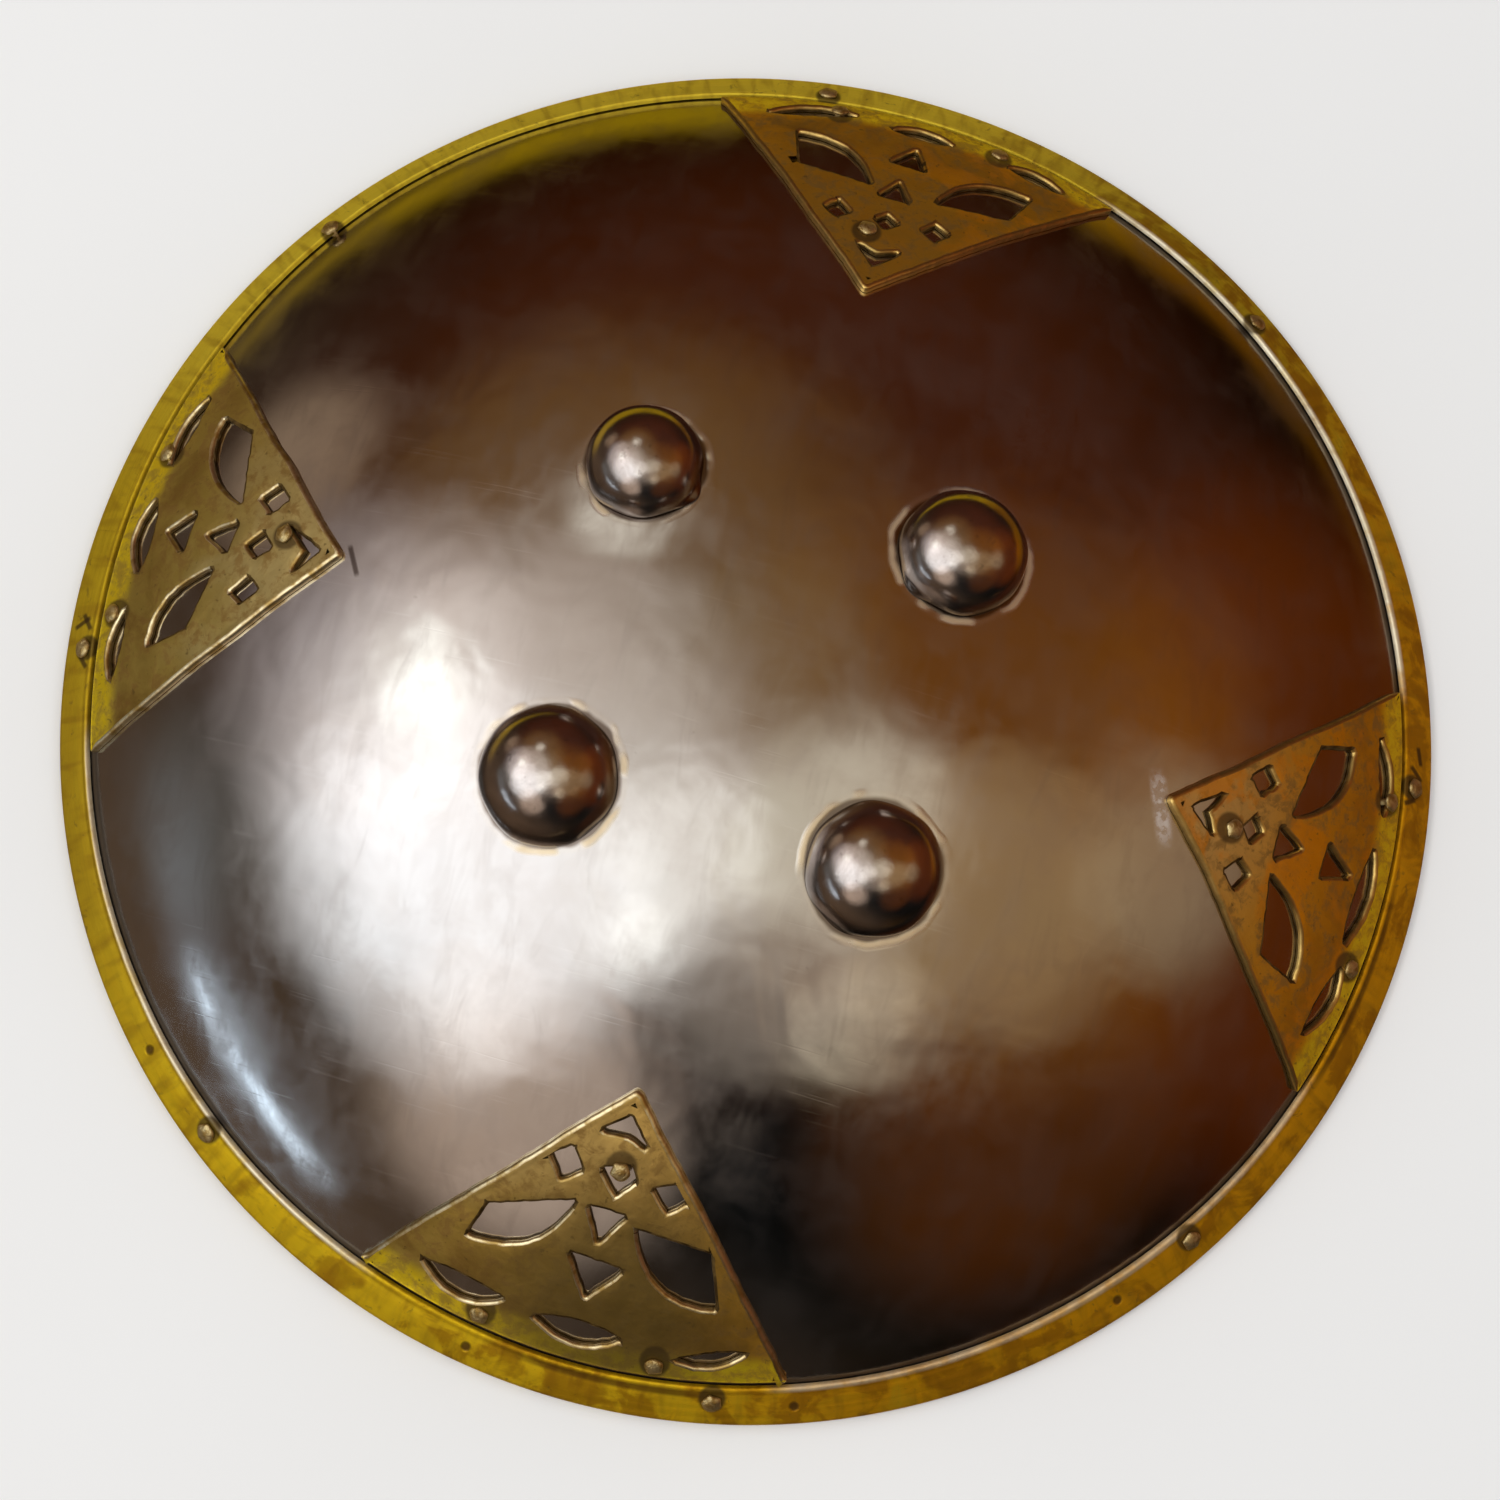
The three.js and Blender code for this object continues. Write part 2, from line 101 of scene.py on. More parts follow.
# Sizes of this model alone
PLATE_RIVET = (2.2, 1.1, 1.9, 0.8)      # radius and rise of the head, radius and rise of the tail
RIM_RIVET = (2.3, 1.1, 1.7, 0.5)
RIVET_PLAY = 0.06
HEAD_EDGE = 0.28
TAIL_EDGE = 0.15
BOSS_CLEAR = 0.2                        # how far the tops stay under the CAD model's
BOSS_EDGE = 0.35
ROUND = 240                             # points round the bowl


# The face of the shield, seen from the side: bowl, hollow flare, sloping flange
flare_reach = SHIELD_RADIUS - FLANGE_WIDTH + FLARE_RADIUS * math.sin(FLANGE_SLOPE)
edge_slope = math.asin(flare_reach / (BOWL_RADIUS + FLARE_RADIUS))
flare_height = (BOWL_RADIUS + FLARE_RADIUS) * math.cos(edge_slope)
fold_radius = STEEL / 2 + GAP + RIM_BRASS
fold_centre = SHIELD_RADIUS - fold_radius
middle_flare = FLARE_RADIUS + STEEL / 2
past_flare = fold_centre - flare_reach + middle_flare * math.sin(FLANGE_SLOPE)
fold_line = flare_height - middle_flare * math.cos(FLANGE_SLOPE) - past_flare * math.tan(FLANGE_SLOPE)
BOWL_CENTRE = fold_radius * math.cos(FLANGE_SLOPE) - fold_line


def waves(x, y, length, seed, count=14):
    """Smooth unevenness between about -1 and 1, with bumps about as long as the given length."""
    draw = np.random.default_rng(seed)
    angles = draw.uniform(0, 2 * math.pi, count)
    lengths = length * draw.uniform(0.7, 1.6, count)
    phases = draw.uniform(0, 2 * math.pi, count)
    total = 0
    for angle, one, phase in zip(angles, lengths, phases):
        total = total + np.sin(2 * math.pi * (x * math.cos(angle) + y * math.sin(angle)) / one + phase)
    return total / math.sqrt(count) * 0.7


def unevenness(x, y):
    """How far hammering and polishing left the steel off its true form; it dies away towards the rim."""
    r = np.hypot(x, y)
    broad = np.clip((138 - r) / 30, 0, 1) * 0.10 * waves(x, y, 42, 1)
    return broad + np.clip((116 - r) / 30, 0, 1) * 0.013 * waves(x, y, 15, 2)


def profile(r, at=0.0):
    """Height and slope, at distances from the axis, of the layer that lies `at` off the steel."""
    bowl_end = (BOWL_RADIUS + at) * math.sin(edge_slope)
    flange_start = flare_reach - (FLARE_RADIUS - at) * math.sin(FLANGE_SLOPE)
    on_bowl = np.arcsin(np.clip(r / (BOWL_RADIUS + at), 0, 1))
    on_flare = np.arcsin(np.clip((flare_reach - r) / (FLARE_RADIUS - at), -1, 1))
    tilt = np.where(r < bowl_end, on_bowl, np.where(r < flange_start, on_flare, FLANGE_SLOPE))
    past = np.maximum(r - flange_start, 0)
    beyond_bowl = flare_height - (FLARE_RADIUS - at) * np.cos(tilt) - past * math.tan(FLANGE_SLOPE)
    level = np.where(r < bowl_end, (BOWL_RADIUS + at) * np.cos(on_bowl), beyond_bowl)
    return BOWL_CENTRE + level, tilt


def on_shield(x, y, height, at=0.0):
    """Points that stand off the steel by a height, over places on the layer that lies `at` off the steel."""
    x, y, height = np.broadcast_arrays(*(np.asarray(values, float) for values in (x, y, height)))
    r = np.hypot(x, y)
    level, tilt = profile(r, at)
    lift = height - at + unevenness(x, y)
    out = (r + lift * np.sin(tilt)) / np.maximum(r, 1e-9)
    return np.stack([x * out, y * out, level + lift * np.cos(tilt)], axis=-1)


def on_face(radius, angle):
    """Stands a local Z axis on the face of the shield, as the CAD model does for rivets and bosses."""
    level, tilt = (float(value) for value in profile(radius))
    turn = Matrix.Rotation(math.radians(angle), 4, "Z")
    return turn @ Matrix.Translation((radius, 0, level)) @ Matrix.Rotation(tilt, 4, "Y")


# Meshes
def make_piece(name, points, faces, material, nodes, sharp=35):
    """A smooth-shaded object from points in millimetres, riding on the shield in place of CAD nodes."""
    mesh = bpy.data.meshes.new(name)
    mesh.from_pydata([tuple(float(c) * MM for c in p) for p in points], [], faces)
    work = bmesh.new()
    work.from_mesh(mesh)
    bmesh.ops.recalc_face_normals(work, faces=work.faces)
    work.to_mesh(mesh)
    work.free()
    mesh.shade_smooth()
    mesh.set_sharp_from_angle(angle=math.radians(sharp))
    piece = bpy.data.objects.new(name, mesh)
    bpy.context.scene.collection.objects.link(piece)
    mesh.materials.append(material)
    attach(piece, "root")
    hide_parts(*nodes)
    return piece


def skin(rows, closed=True):
    """Points and faces of a skin over rows that each run once round an axis; a row of one point is a pole."""
    points, starts = [], []
    for row in rows:
        starts.append(len(points))
        points.extend(row)
    faces = []
    pairs = [(i, i + 1) for i in range(len(rows) - 1)]
    if closed:
        pairs.append((len(rows) - 1, 0))
    for a, b in pairs:
        count = max(len(rows[a]), len(rows[b]))
        for k in range(count):
            after = (k + 1) % count
            lower = [starts[a] + k, starts[a] + after] if len(rows[a]) > 1 else [starts[a]]
            upper = [starts[b] + after, starts[b] + k] if len(rows[b]) > 1 else [starts[b]]
            faces.append(lower + upper)
    return points, faces


def turned(outline, place, count, squash=None):
    """Turns a side view round a local Z axis; squash gives the radius a factor by angle and height."""
    rows = []
    angles = np.arange(count) * 2 * math.pi / count
    for x, z in outline:
        if x < 1e-6:
            rows.append([place @ Vector((0, 0, z))])
            continue
        reach = x * squash(angles, z) if squash else np.full(count, x)
        rows.append([place @ Vector((r * math.cos(a), r * math.sin(a), z)) for a, r in zip(angles, reach)])
    closed = len(rows[0]) > 1 or len(rows[-1]) > 1
    return skin(rows, closed)


def arc(centre_x, centre_z, radius, rise, start, end, count):
    """Points on an arc of a circle or an ellipse in a side view, with its angles in degrees."""
    angles = [math.radians(a) for a in np.linspace(start, end, count)]
    return [(centre_x + radius * math.cos(a), centre_z + rise * math.sin(a)) for a in angles]


# Wiring of nodes
class Wiring:
    """Short calls for wiring nodes."""

    def __init__(self, tree):
        self.tree = tree
        tree.nodes.clear()

    def node(self, kind, **settings):
        node = self.tree.nodes.new("ShaderNode" + kind)
        for name, value in settings.items():
            setattr(node, name, value)
        return node

    def put(self, socket, value):
        """Links a socket to another node's output, or gives it a fixed value."""
        if isinstance(value, bpy.types.NodeSocket):
            self.tree.links.new(value, socket)
        elif socket.type == "RGBA":
            socket.default_value = (*value, 1)
        else:
            socket.default_value = value

    def fill(self, node, *values, out=0):
        """Puts values into a node's sockets in their order and gives one of its outputs."""
        for socket, value in zip(node.inputs, values):
            self.put(socket, value)
        return node.outputs[out]

    def compute(self, operation, *values):
        return self.fill(self.node("Math", operation=operation), *values)

    def plus(self, first, second):
        return self.compute("ADD", first, second)

    def minus(self, first, second):
        return self.compute("SUBTRACT", first, second)

    def times(self, first, second):
        return self.compute("MULTIPLY", first, second)

    def largest(self, values):
        top, *others = values
        for one in others:
            top = self.compute("MAXIMUM", top, one)
        return top

    def vector(self, operation, *values, out=0):
        return self.fill(self.node("VectorMath", operation=operation), *values, out=out)

    def dot(self, first, second):
        return self.vector("DOT_PRODUCT", first, second, out=1)

    def combine(self, x, y, z):
        return self.fill(self.node("CombineXYZ"), x, y, z)

    def split(self, vector):
        node = self.node("SeparateXYZ")
        self.put(node.inputs[0], vector)
        return node.outputs

    def noise(self, where, scale, detail=3.0, rough=0.55, twist=0.0):
        node = self.node("TexNoise")
        self.put(node.inputs["Vector"], where)
        settings = {"Scale": scale, "Detail": detail, "Roughness": rough, "Distortion": twist}
        for name, value in settings.items():
            node.inputs[name].default_value = value
        return node.outputs[0]

    def remap(self, value, low, high, new_low=0.0, new_high=1.0):
        """Goes smoothly from a new low to a new high as the value goes from its low to its high."""
        node = self.node("MapRange", interpolation_type="SMOOTHSTEP")
        return self.fill(node, value, low, high, new_low, new_high)

    def between(self, value, start, full, still_full, gone):
        """1 in the middle of a range, fading out at both its ends."""
        return self.times(self.remap(value, start, full), self.remap(value, still_full, gone, 1.0, 0.0))

    def mix(self, amount, first, second, blend="MIX"):
        node = self.node("Mix", data_type="RGBA", blend_type=blend)
        self.put(node.inputs[0], amount)
        self.put(node.inputs[6], first)
        self.put(node.inputs[7], second)
        return node.outputs[2]

    def bump(self, height, distance, strength=1.0, below=None):
        node = self.node("Bump")
        node.inputs["Strength"].default_value = strength
        node.inputs["Distance"].default_value = distance * MM
        self.put(node.inputs["Height"], height)
        if below is not None:
            self.put(node.inputs["Normal"], below)
        return node.outputs[0]


class Shader(Wiring):
    """One material, whose places are in millimetres from the shield's centre."""

    def __init__(self, name):
        self.material = bpy.data.materials.new(name)
        self.material.use_nodes = True
        super().__init__(self.material.node_tree)
        self.surface = self.node("BsdfPrincipled")
        self.tree.links.new(self.surface.outputs[0], self.node("OutputMaterial").inputs[0])
        metres = self.node("TexCoord").outputs["Object"]
        self.place = self.vector("MULTIPLY", metres, (1 / MM, 1 / MM, 1 / MM))
        self.flat = self.vector("MULTIPLY", self.place, (1, 1, 0))
        self.radius = self.vector("LENGTH", self.flat, out=1)

    def stretched(self, scale, turn, shift=0.0):
        """Places stretched along one way, for scratches and smears."""
        node = self.node("Mapping")
        self.put(node.inputs["Vector"], self.place)
        node.inputs["Location"].default_value = (shift, shift, 0)
        node.inputs["Rotation"].default_value = (0, 0, math.radians(turn))
        node.inputs["Scale"].default_value = scale
        return node.outputs[0]

    def cells(self, feature, scale):
        """Distances in a pattern of cells."""
        node = self.node("TexVoronoi", feature=feature)
        self.put(node.inputs["Vector"], self.place)
        node.inputs["Scale"].default_value = scale
        return node.outputs["Distance"]

    def toward(self, side):
        """How far a place lies towards one side of the shield, about 1 at the rim."""
        return self.dot(self.place, (*side, 0))

    def away(self, spot):
        """How far a place is from a spot, seen from above."""
        return self.vector("DISTANCE", self.flat, (*spot, 0), out=1)

    def near(self, spot, low, high):
        """1 round a spot, fading out between two distances from it."""
        return self.remap(self.away(spot), low, high, 1.0, 0.0)

    def along(self, ends, width, fade=0.35):
        """1 on a short line between two spots, fading out beside it and towards its ends."""
        (ax, ay), (bx, by) = ends
        length = math.hypot(bx - ax, by - ay)
        x, y = (bx - ax) / length, (by - ay) / length
        off = self.vector("SUBTRACT", self.flat, ((ax + bx) / 2, (ay + by) / 2, 0))
        forward = self.compute("ABSOLUTE", self.dot(off, (x, y, 0)))
        aside = self.compute("ABSOLUTE", self.dot(off, (-y, x, 0)))
        lengthways = self.remap(forward, length / 2 * (1 - fade), length / 2, 1.0, 0.0)
        return self.times(lengthways, self.remap(aside, width * 0.3, width, 1.0, 0.0))

    def scratches(self, fineness):
        """Thin polishing scratches that run several ways."""
        ways = [self.stretched((0.035, fineness, 0.035), turn, shift) for turn, shift in SCRATCH_WAYS]
        lines = self.largest([self.remap(self.noise(way, 1.0, 2.0, 0.6), 0.66, 0.74) for way in ways])
        return self.times(lines, 0.5)

    def rivet_shadow(self, spots, head):
        """1 in the ring of painted shadow round each rivet head of a list."""
        return self.largest([self.near(spot, head, head + 0.9) for spot in spots])

    def tint(self, mask, color, share=1.0):
        """Lays a colour over the present one where a mask is 1, covering it by a share."""
        if share < 1:
            mask = self.times(mask, share)
        self.color = self.mix(mask, self.color, color)

    def finish(self, rough, metallic=1.0, normal=None):
        self.put(self.surface.inputs["Base Color"], self.color)
        self.put(self.surface.inputs["Roughness"], rough)
        self.put(self.surface.inputs["Metallic"], metallic)
        if normal is not None:
            self.put(self.surface.inputs["Normal"], normal)
        return self.material


# Spots and sides that the finishes know of, in millimetres from the centre seen from above
def spot_at(radius, degrees):
    return (radius * math.cos(math.radians(degrees)), radius * math.sin(math.radians(degrees)))


BOSS_SPOTS = [spot_at(BOSS_CIRCLE, angle) for angle in BOSS_ANGLES]
PALE_SCRATCH = ((83.8, 5.4), (90.9, -11.5))
DARK_SCRATCH = ((-88.9, 3.9), (-84.6, -3.2))
CREASE = ((17.3, -54.7), (24.5, -73.0))
RIM_SCRATCHES = [
    ((-145.6, -20.0), (-149.4, -23.4)), ((-144.6, -23.2), (-148.2, -19.4)),
    ((-142.8, -31.6), (-146.4, -28.4)), ((143.4, 20.4), (146.6, 22.6)),
    ((143.2, 29.6), (147.4, 26.8)), ((144.2, 34.6), (146.2, 30.0)),
]
RIM_PINS = [spot_at(148.7, degrees) for degrees in (-134.1, -97.8, -70.5, -42.4)]
DARK_SEAMS = [((12, -145), 28), ((143, -22), 30)]      # where the seam beside the rim is black, and how far
SCRATCH_WAYS = [(12, 0), (64, 31), (140, 57)]           # turn in degrees and shift of each set of scratches
TOP_PLATE = (4, 118)
LOWER_PLATE = (6, -130)
RIGHT_POINT = (92, 0)

# Sides are vectors whose product with a place is about 1 at the rim
WIDE_BAND_SIDE = (0.0049, -0.0045)
# The warm sides carry a painted warm reflection in the brass
WARM_REFLECTION_SIDE = (0.0062, 0.0032)
RIM_WARM_REFLECTION_SIDE = (0.0062, -0.0024)
# Painted light on the band: brighter gold at the upper left and at the bottom, darker brown at the lower left
RIM_LIGHT_TINTS = [   # side, where the tint starts and where it is full, its share and its colour
    ((-0.0035, 0.0062), 0.55, 0.9, 0.8, (1.0, 0.80, 0.06)),
    ((-0.0055, -0.0038), 0.82, 0.98, 0.5, (0.58, 0.36, 0.015)),
    ((-0.0020, -0.0064), 0.72, 0.97, 0.7, (1.0, 0.68, 0.01)),
]


# Materials
def boss_rings(s):
    """Two masks round the bosses: patches of pale metal, and painted shade in the gaps at their feet."""
    wobble = s.times(s.minus(s.noise(s.place, 0.10, 2.0), 0.5), 2.4)
    rings, foot_shades = [], []
    for spot, foot in zip(BOSS_SPOTS, BOSS_RADII):
        away = s.plus(s.away(spot), wobble)
        rings.append(s.between(away, foot - 0.2, foot + 0.7, foot + 0.9, foot + 2.1))
        foot_shades.append(s.remap(away, foot - 0.1, foot + 0.9, 1.0, 0.0))
    patchy = s.remap(s.noise(s.place, 0.085, 2.0, 0.5), 0.43, 0.56, 0.08)
    return s.times(s.largest(rings), patchy), s.largest(foot_shades)


def steel_face():
    s = Shader("polished_steel")
    cloudy = s.noise(s.place, 0.06, 4.0, 0.62, 0.4)
    s.color = s.mix(s.remap(cloudy, 0.35, 0.7), (0.61, 0.58, 0.555), (0.57, 0.53, 0.50))
    broad = s.noise(s.place, 0.018, 2.0, 0.6, 0.6)
    s.tint(s.remap(broad, 0.42, 0.62, 0, 0.5), (0.62, 0.60, 0.585))
    pits = s.remap(s.noise(s.place, 0.55, 2.0, 0.5), 0.74, 0.82, 0, 0.2)
    s.tint(pits, (0.16, 0.12, 0.10))
    smear = s.noise(s.stretched((0.15, 0.045, 0.1), 38), 1.0, 3.0, 0.6, 0.9)
    s.tint(s.remap(smear, 0.48, 0.68, 0, 0.28), (0.47, 0.43, 0.40))
    scratch = s.scratches(1.5)
    s.tint(scratch, (0.75, 0.72, 0.70), 0.25)
    # Handling has kept the edge of the bowl brighter than its middle
    rough = s.minus(s.remap(cloudy, 0.34, 0.68, 0.115, 0.205), s.remap(s.radius, 85, 122, 0, 0.03))
    rough = s.plus(rough, s.times(scratch, 0.05))
    rough = s.plus(rough, s.remap(smear, 0.36, 0.66, -0.015, 0.025))
    # Painted shade darkens the steel beside the band, least of all where the band is narrow
    band_shade = s.remap(s.plus(s.radius, s.times(cloudy, 0.8)), RIM_FRONT - 1.3, RIM_FRONT - 0.1, 0, 0.9)
    band_shade = s.times(band_shade, s.remap(s.toward(WIDE_BAND_SIDE), -0.85, -0.45, 0.15, 1.0))
    s.tint(band_shade, (0.07, 0.05, 0.035))
    rough = s.plus(rough, s.times(band_shade, 0.35))
    halo, foot_shade = boss_rings(s)
    # Painted shade in the gaps at the feet of the bosses
    s.tint(foot_shade, (0.13, 0.09, 0.065), 0.85)
    s.tint(halo, (0.90, 0.74, 0.50), 0.85)
    rough = s.plus(rough, s.times(halo, 0.25))
    rubbed = s.remap(s.noise(s.place, 0.45, 2.0), 0.38, 0.6, 0.25, 1.0)
    pale = s.times(s.along(PALE_SCRATCH, 2.4, 0.6), rubbed)
    s.tint(pale, (0.86, 0.82, 0.78), 0.8)
    rough = s.plus(rough, s.times(pale, 0.3))
    s.tint(s.along(DARK_SCRATCH, 0.8), (0.08, 0.05, 0.035), 0.8)
    # Rings and a crease, then the hammer's marks, which fade towards the rim, then grain and scratches
    dents = s.bump(s.minus(halo, s.times(s.along(CREASE, 3.2, 0.6), 0.3)), 0.10, 0.8)
    dished = s.minus(s.noise(s.place, 0.05, 2.0, 0.45, 0.3), 0.5)
    hammer = s.bump(s.times(dished, s.remap(s.radius, 90, 120, 1.0, 0.2)), 0.32, 1.0, dents)
    grain = s.times(s.noise(s.place, 0.9, 3.0, 0.6), 0.25)
    fine = s.bump(s.minus(grain, s.times(scratch, 0.5)), 0.015, 0.5, hammer)
    dull = s.largest([s.times(pale, 0.36), s.times(halo, 0.2)])
    return s.finish(rough, s.minus(1.0, dull), fine)


def steel_back():
    s = Shader("dark_steel_back")
    cloudy = s.noise(s.place, 0.05, 5.0, 0.65, 0.8)
    rust = s.remap(s.noise(s.place, 0.09, 6.0, 0.7, 1.0), 0.56, 0.70, 0, 0.75)
    s.color = s.mix(s.remap(cloudy, 0.3, 0.7), (0.20, 0.175, 0.16), (0.11, 0.09, 0.08))
    s.tint(rust, (0.16, 0.065, 0.03))
    rough = s.plus(s.remap(cloudy, 0.3, 0.7, 0.42, 0.62), s.times(rust, 0.2))
    hammer = s.bump(s.cells("SMOOTH_F1", 0.085), 0.9, 0.8)
    fine = s.bump(s.noise(s.place, 0.8, 4.0, 0.6), 0.06, 0.7, hammer)
    return s.finish(rough, normal=fine)


def boss_steel():
    s = Shader("boss_steel")
    cloudy = s.noise(s.place, 0.12, 4.0, 0.6, 0.4)
    s.color = s.mix(s.remap(cloudy, 0.35, 0.7), (0.62, 0.56, 0.525), (0.46, 0.40, 0.365))
    grime = s.remap(s.noise(s.place, 0.5, 3.0, 0.6), 0.62, 0.75, 0, 0.4)
    s.tint(grime, (0.14, 0.11, 0.09))
    # Painted shade darkens each dome towards its foot, patchily
    feet = [
        s.between(s.away(spot), radius - 3.2, radius - 0.3, radius + 4, radius + 5)
        for spot, radius in zip(BOSS_SPOTS, BOSS_RADII)
    ]
    foot_shade = s.times(s.largest(feet), s.remap(cloudy, 0.3, 0.6, 0.5, 0.85))
    s.tint(foot_shade, (0.13, 0.095, 0.07))
    hammer = s.bump(s.noise(s.place, 0.16, 2.0, 0.5), 0.16, 0.8)
    fine = s.bump(s.noise(s.place, 1.4, 3.0, 0.6), 0.02, 0.6, hammer)
    return s.finish(s.remap(cloudy, 0.3, 0.7, 0.145, 0.20), normal=fine)


def rim_brass():
    s = Shader("rim_brass")
    x, y, _ = s.split(s.place)
    angle = s.compute("ARCTAN2", y, x)
    streak = s.noise(s.combine(s.times(s.radius, 0.9), s.times(angle, 6.0), 0.0), 1.0, 3.0, 0.6, 0.3)
    crimps = s.noise(s.combine(s.times(s.radius, 0.10), s.times(angle, 44.0), 3.0), 1.0, 2.0, 0.5, 0.4)
    cloudy = s.noise(s.place, 0.10, 4.0, 0.6, 0.5)
    warm = s.plus(s.toward(RIM_WARM_REFLECTION_SIDE), s.times(s.minus(cloudy, 0.5), 1.6))
    s.color = s.mix(s.remap(streak, 0.35, 0.68), (0.76, 0.54, 0.02), (0.58, 0.40, 0.012))
    # Painted warm reflection: orange towards the warm side
    s.tint(s.remap(warm, 0.0, 0.8, 0, 0.95), (0.80, 0.39, 0.002))
    # Painted light and shade by side of the band
    for side, start, full, share, tint in RIM_LIGHT_TINTS:
        s.tint(s.remap(s.toward(side), start, full, 0, share), tint)
    s.tint(s.remap(crimps, 0.42, 0.75, 0, 0.5), (0.36, 0.18, 0.008))
    # Brown patches only towards the warm side, part of the painted warm reflection
    brown = s.times(s.remap(cloudy, 0.47, 0.6, 0, 0.6), s.remap(warm, -0.5, 0.4))
    s.tint(brown, (0.34, 0.13, 0.002))
    # Darker along the seam beside the plates, at two places
    seam = s.between(s.radius, RIM_FRONT + 1.5, RIM_FRONT + 2.3, RIM_FRONT + 2.8, RIM_FRONT + 3.6)
    beside = s.largest([s.near(spot, 14, reach) for spot, reach in DARK_SEAMS])
    s.tint(s.times(seam, beside), (0.14, 0.06, 0.005), 0.75)
    stain = s.remap(s.noise(s.place, 0.32, 4.0, 0.65, 0.6), 0.60, 0.72, 0, 0.5)
    s.tint(stain, (0.22, 0.12, 0.02))
    # The inner edge is rubbed pale and carries a painted highlight, least of all where the band is narrow and
    # beside the plates
    wide = s.toward(WIDE_BAND_SIDE)
    edge = s.times(s.remap(s.radius, RIM_FRONT + 1.5, RIM_FRONT + 2.2, 1.0, 0.0), s.remap(wide, -0.75, -0.35))
    edge = s.times(edge, s.remap(wide, 0.35, 0.85, 1.0, 0.6))
    beside_plates = s.remap(s.compute("COSINE", s.times(angle, 4.0)), 0.15, 0.4)
    edge = s.times(edge, s.minus(1.0, beside_plates))
    pale = s.remap(s.noise(s.place, 0.2, 3.0, 0.6), 0.3, 0.6, 0.45, 0.95)
    s.tint(s.times(edge, pale), (1.0, 0.92, 0.70))
    rivet_spots = [spot_at(SHIELD_RADIUS - RIM_RIVET_INSET, angle) for angle in RIM_RIVET_ANGLES]
    # Painted shadow round the rivet heads
    s.tint(s.rivet_shadow(rivet_spots, 2.4), (0.10, 0.06, 0.015), 0.85)
    pins = s.largest([s.near(spot, 0.6, 1.3) for spot in RIM_PINS])
    s.tint(pins, (0.10, 0.045, 0.01), 0.85)
    for ends in RIM_SCRATCHES:
        s.tint(s.along(ends, 0.8), (0.07, 0.035, 0.01), 0.85)
    dents = s.bump(s.minus(1.0, pins), 0.5, 0.8)
    hammer = s.bump(s.plus(s.noise(s.place, 0.14, 2.0, 0.5), s.times(crimps, 0.5)), 0.4, 0.7, dents)
    fine = s.bump(streak, 0.05, 0.8, hammer)
    return s.finish(s.remap(streak, 0.3, 0.7, 0.44, 0.6), 0.8, fine)


def plate_rivets(number):
    """Name, radius and angle of each rivet of one plate."""
    for name, inset, side in (
        ("point", POINT_RIVET_INSET, POINT_RIVET_DRIFT[number]),
        ("base_a", BASE_RIVET_INSET, -BASE_RIVET_SIDE),
        ("base_b", BASE_RIVET_INSET, BASE_RIVET_SIDE),
    ):
        radius = PLATE_END - inset
        yield name, radius, PLATE_ANGLES[number] + math.degrees(side / radius)


def plate_brass():
    s = Shader("plate_brass")
    cloudy = s.noise(s.place, 0.07, 4.0, 0.6, 0.5)
    mottled = s.noise(s.place, 0.28, 5.0, 0.65, 0.4)
    outward = s.remap(s.plus(s.radius, s.times(s.minus(cloudy, 0.5), 40.0)), 100, 132)
    warm = s.toward(WARM_REFLECTION_SIDE)
    # The brass turns orange towards the warm side: painted warm reflection
    s.color = s.mix(s.remap(warm, -0.8, 0.3), (0.53, 0.41, 0.16), (0.70, 0.36, 0.035))
    s.tint(outward, s.mix(s.remap(warm, -0.8, 0.3), (0.42, 0.29, 0.06), (0.66, 0.28, 0.006)))
    s.tint(s.near(TOP_PLATE, 26, 52), (0.38, 0.17, 0.012), 0.6)
    s.tint(s.near(RIGHT_POINT, 2, 34), (0.66, 0.48, 0.20), 0.6)
    s.tint(s.remap(mottled, 0.46, 0.64, 0, 0.75), (0.32, 0.18, 0.045))
    # A darker stripe across each plate, a golden painted highlight beside the rim, and a painted warm
    # reflection, orange, on the warm side
    dark_stripe = s.between(s.radius, PLATE_END - 17.4, PLATE_END - 10.4, PLATE_END - 7.4, PLATE_END - 4.4)
    s.tint(s.times(dark_stripe, s.remap(cloudy, 0.4, 0.6, 0.1, 0.65)), (0.22, 0.11, 0.02))
    # Painted highlight: golden brass beside the rim
    rim_side_highlight = s.remap(s.radius, PLATE_END - 6.4, PLATE_END - 2.9)
    s.tint(s.times(rim_side_highlight, s.remap(mottled, 0.38, 0.62, 1.0, 0.35)), (1.0, 0.74, 0.02))
    # Painted warm reflection, in orange patches short of the rim
    orange = s.times(s.remap(cloudy, 0.47, 0.6, 0, 0.65), s.remap(warm, 0.25, 0.6))
    orange = s.times(orange, s.remap(s.radius, PLATE_END - 6.4, PLATE_END - 3.4, 1.0, 0.0))
    s.tint(orange, (0.85, 0.31, 0.002))
    specks = s.remap(s.noise(s.place, 0.7, 3.0, 0.6), 0.62, 0.74, 0, 0.65)
    s.tint(specks, (0.14, 0.08, 0.02))
    s.tint(s.near(LOWER_PLATE, 8, 38), (0.18, 0.12, 0.03), 0.8)
    rivet_spots = [spot_at(*where) for number in range(4) for _, *where in plate_rivets(number)]
    # Painted shadow round the rivet heads
    s.tint(s.rivet_shadow(rivet_spots, 2.8), (0.10, 0.06, 0.02), 0.8)
    hammer = s.bump(s.noise(s.place, 0.12, 3.0, 0.5), 0.5, 0.8)
    fine = s.bump(mottled, 0.10, 0.8, hammer)
    return s.finish(s.remap(mottled, 0.3, 0.7, 0.38, 0.52), 0.82, fine)


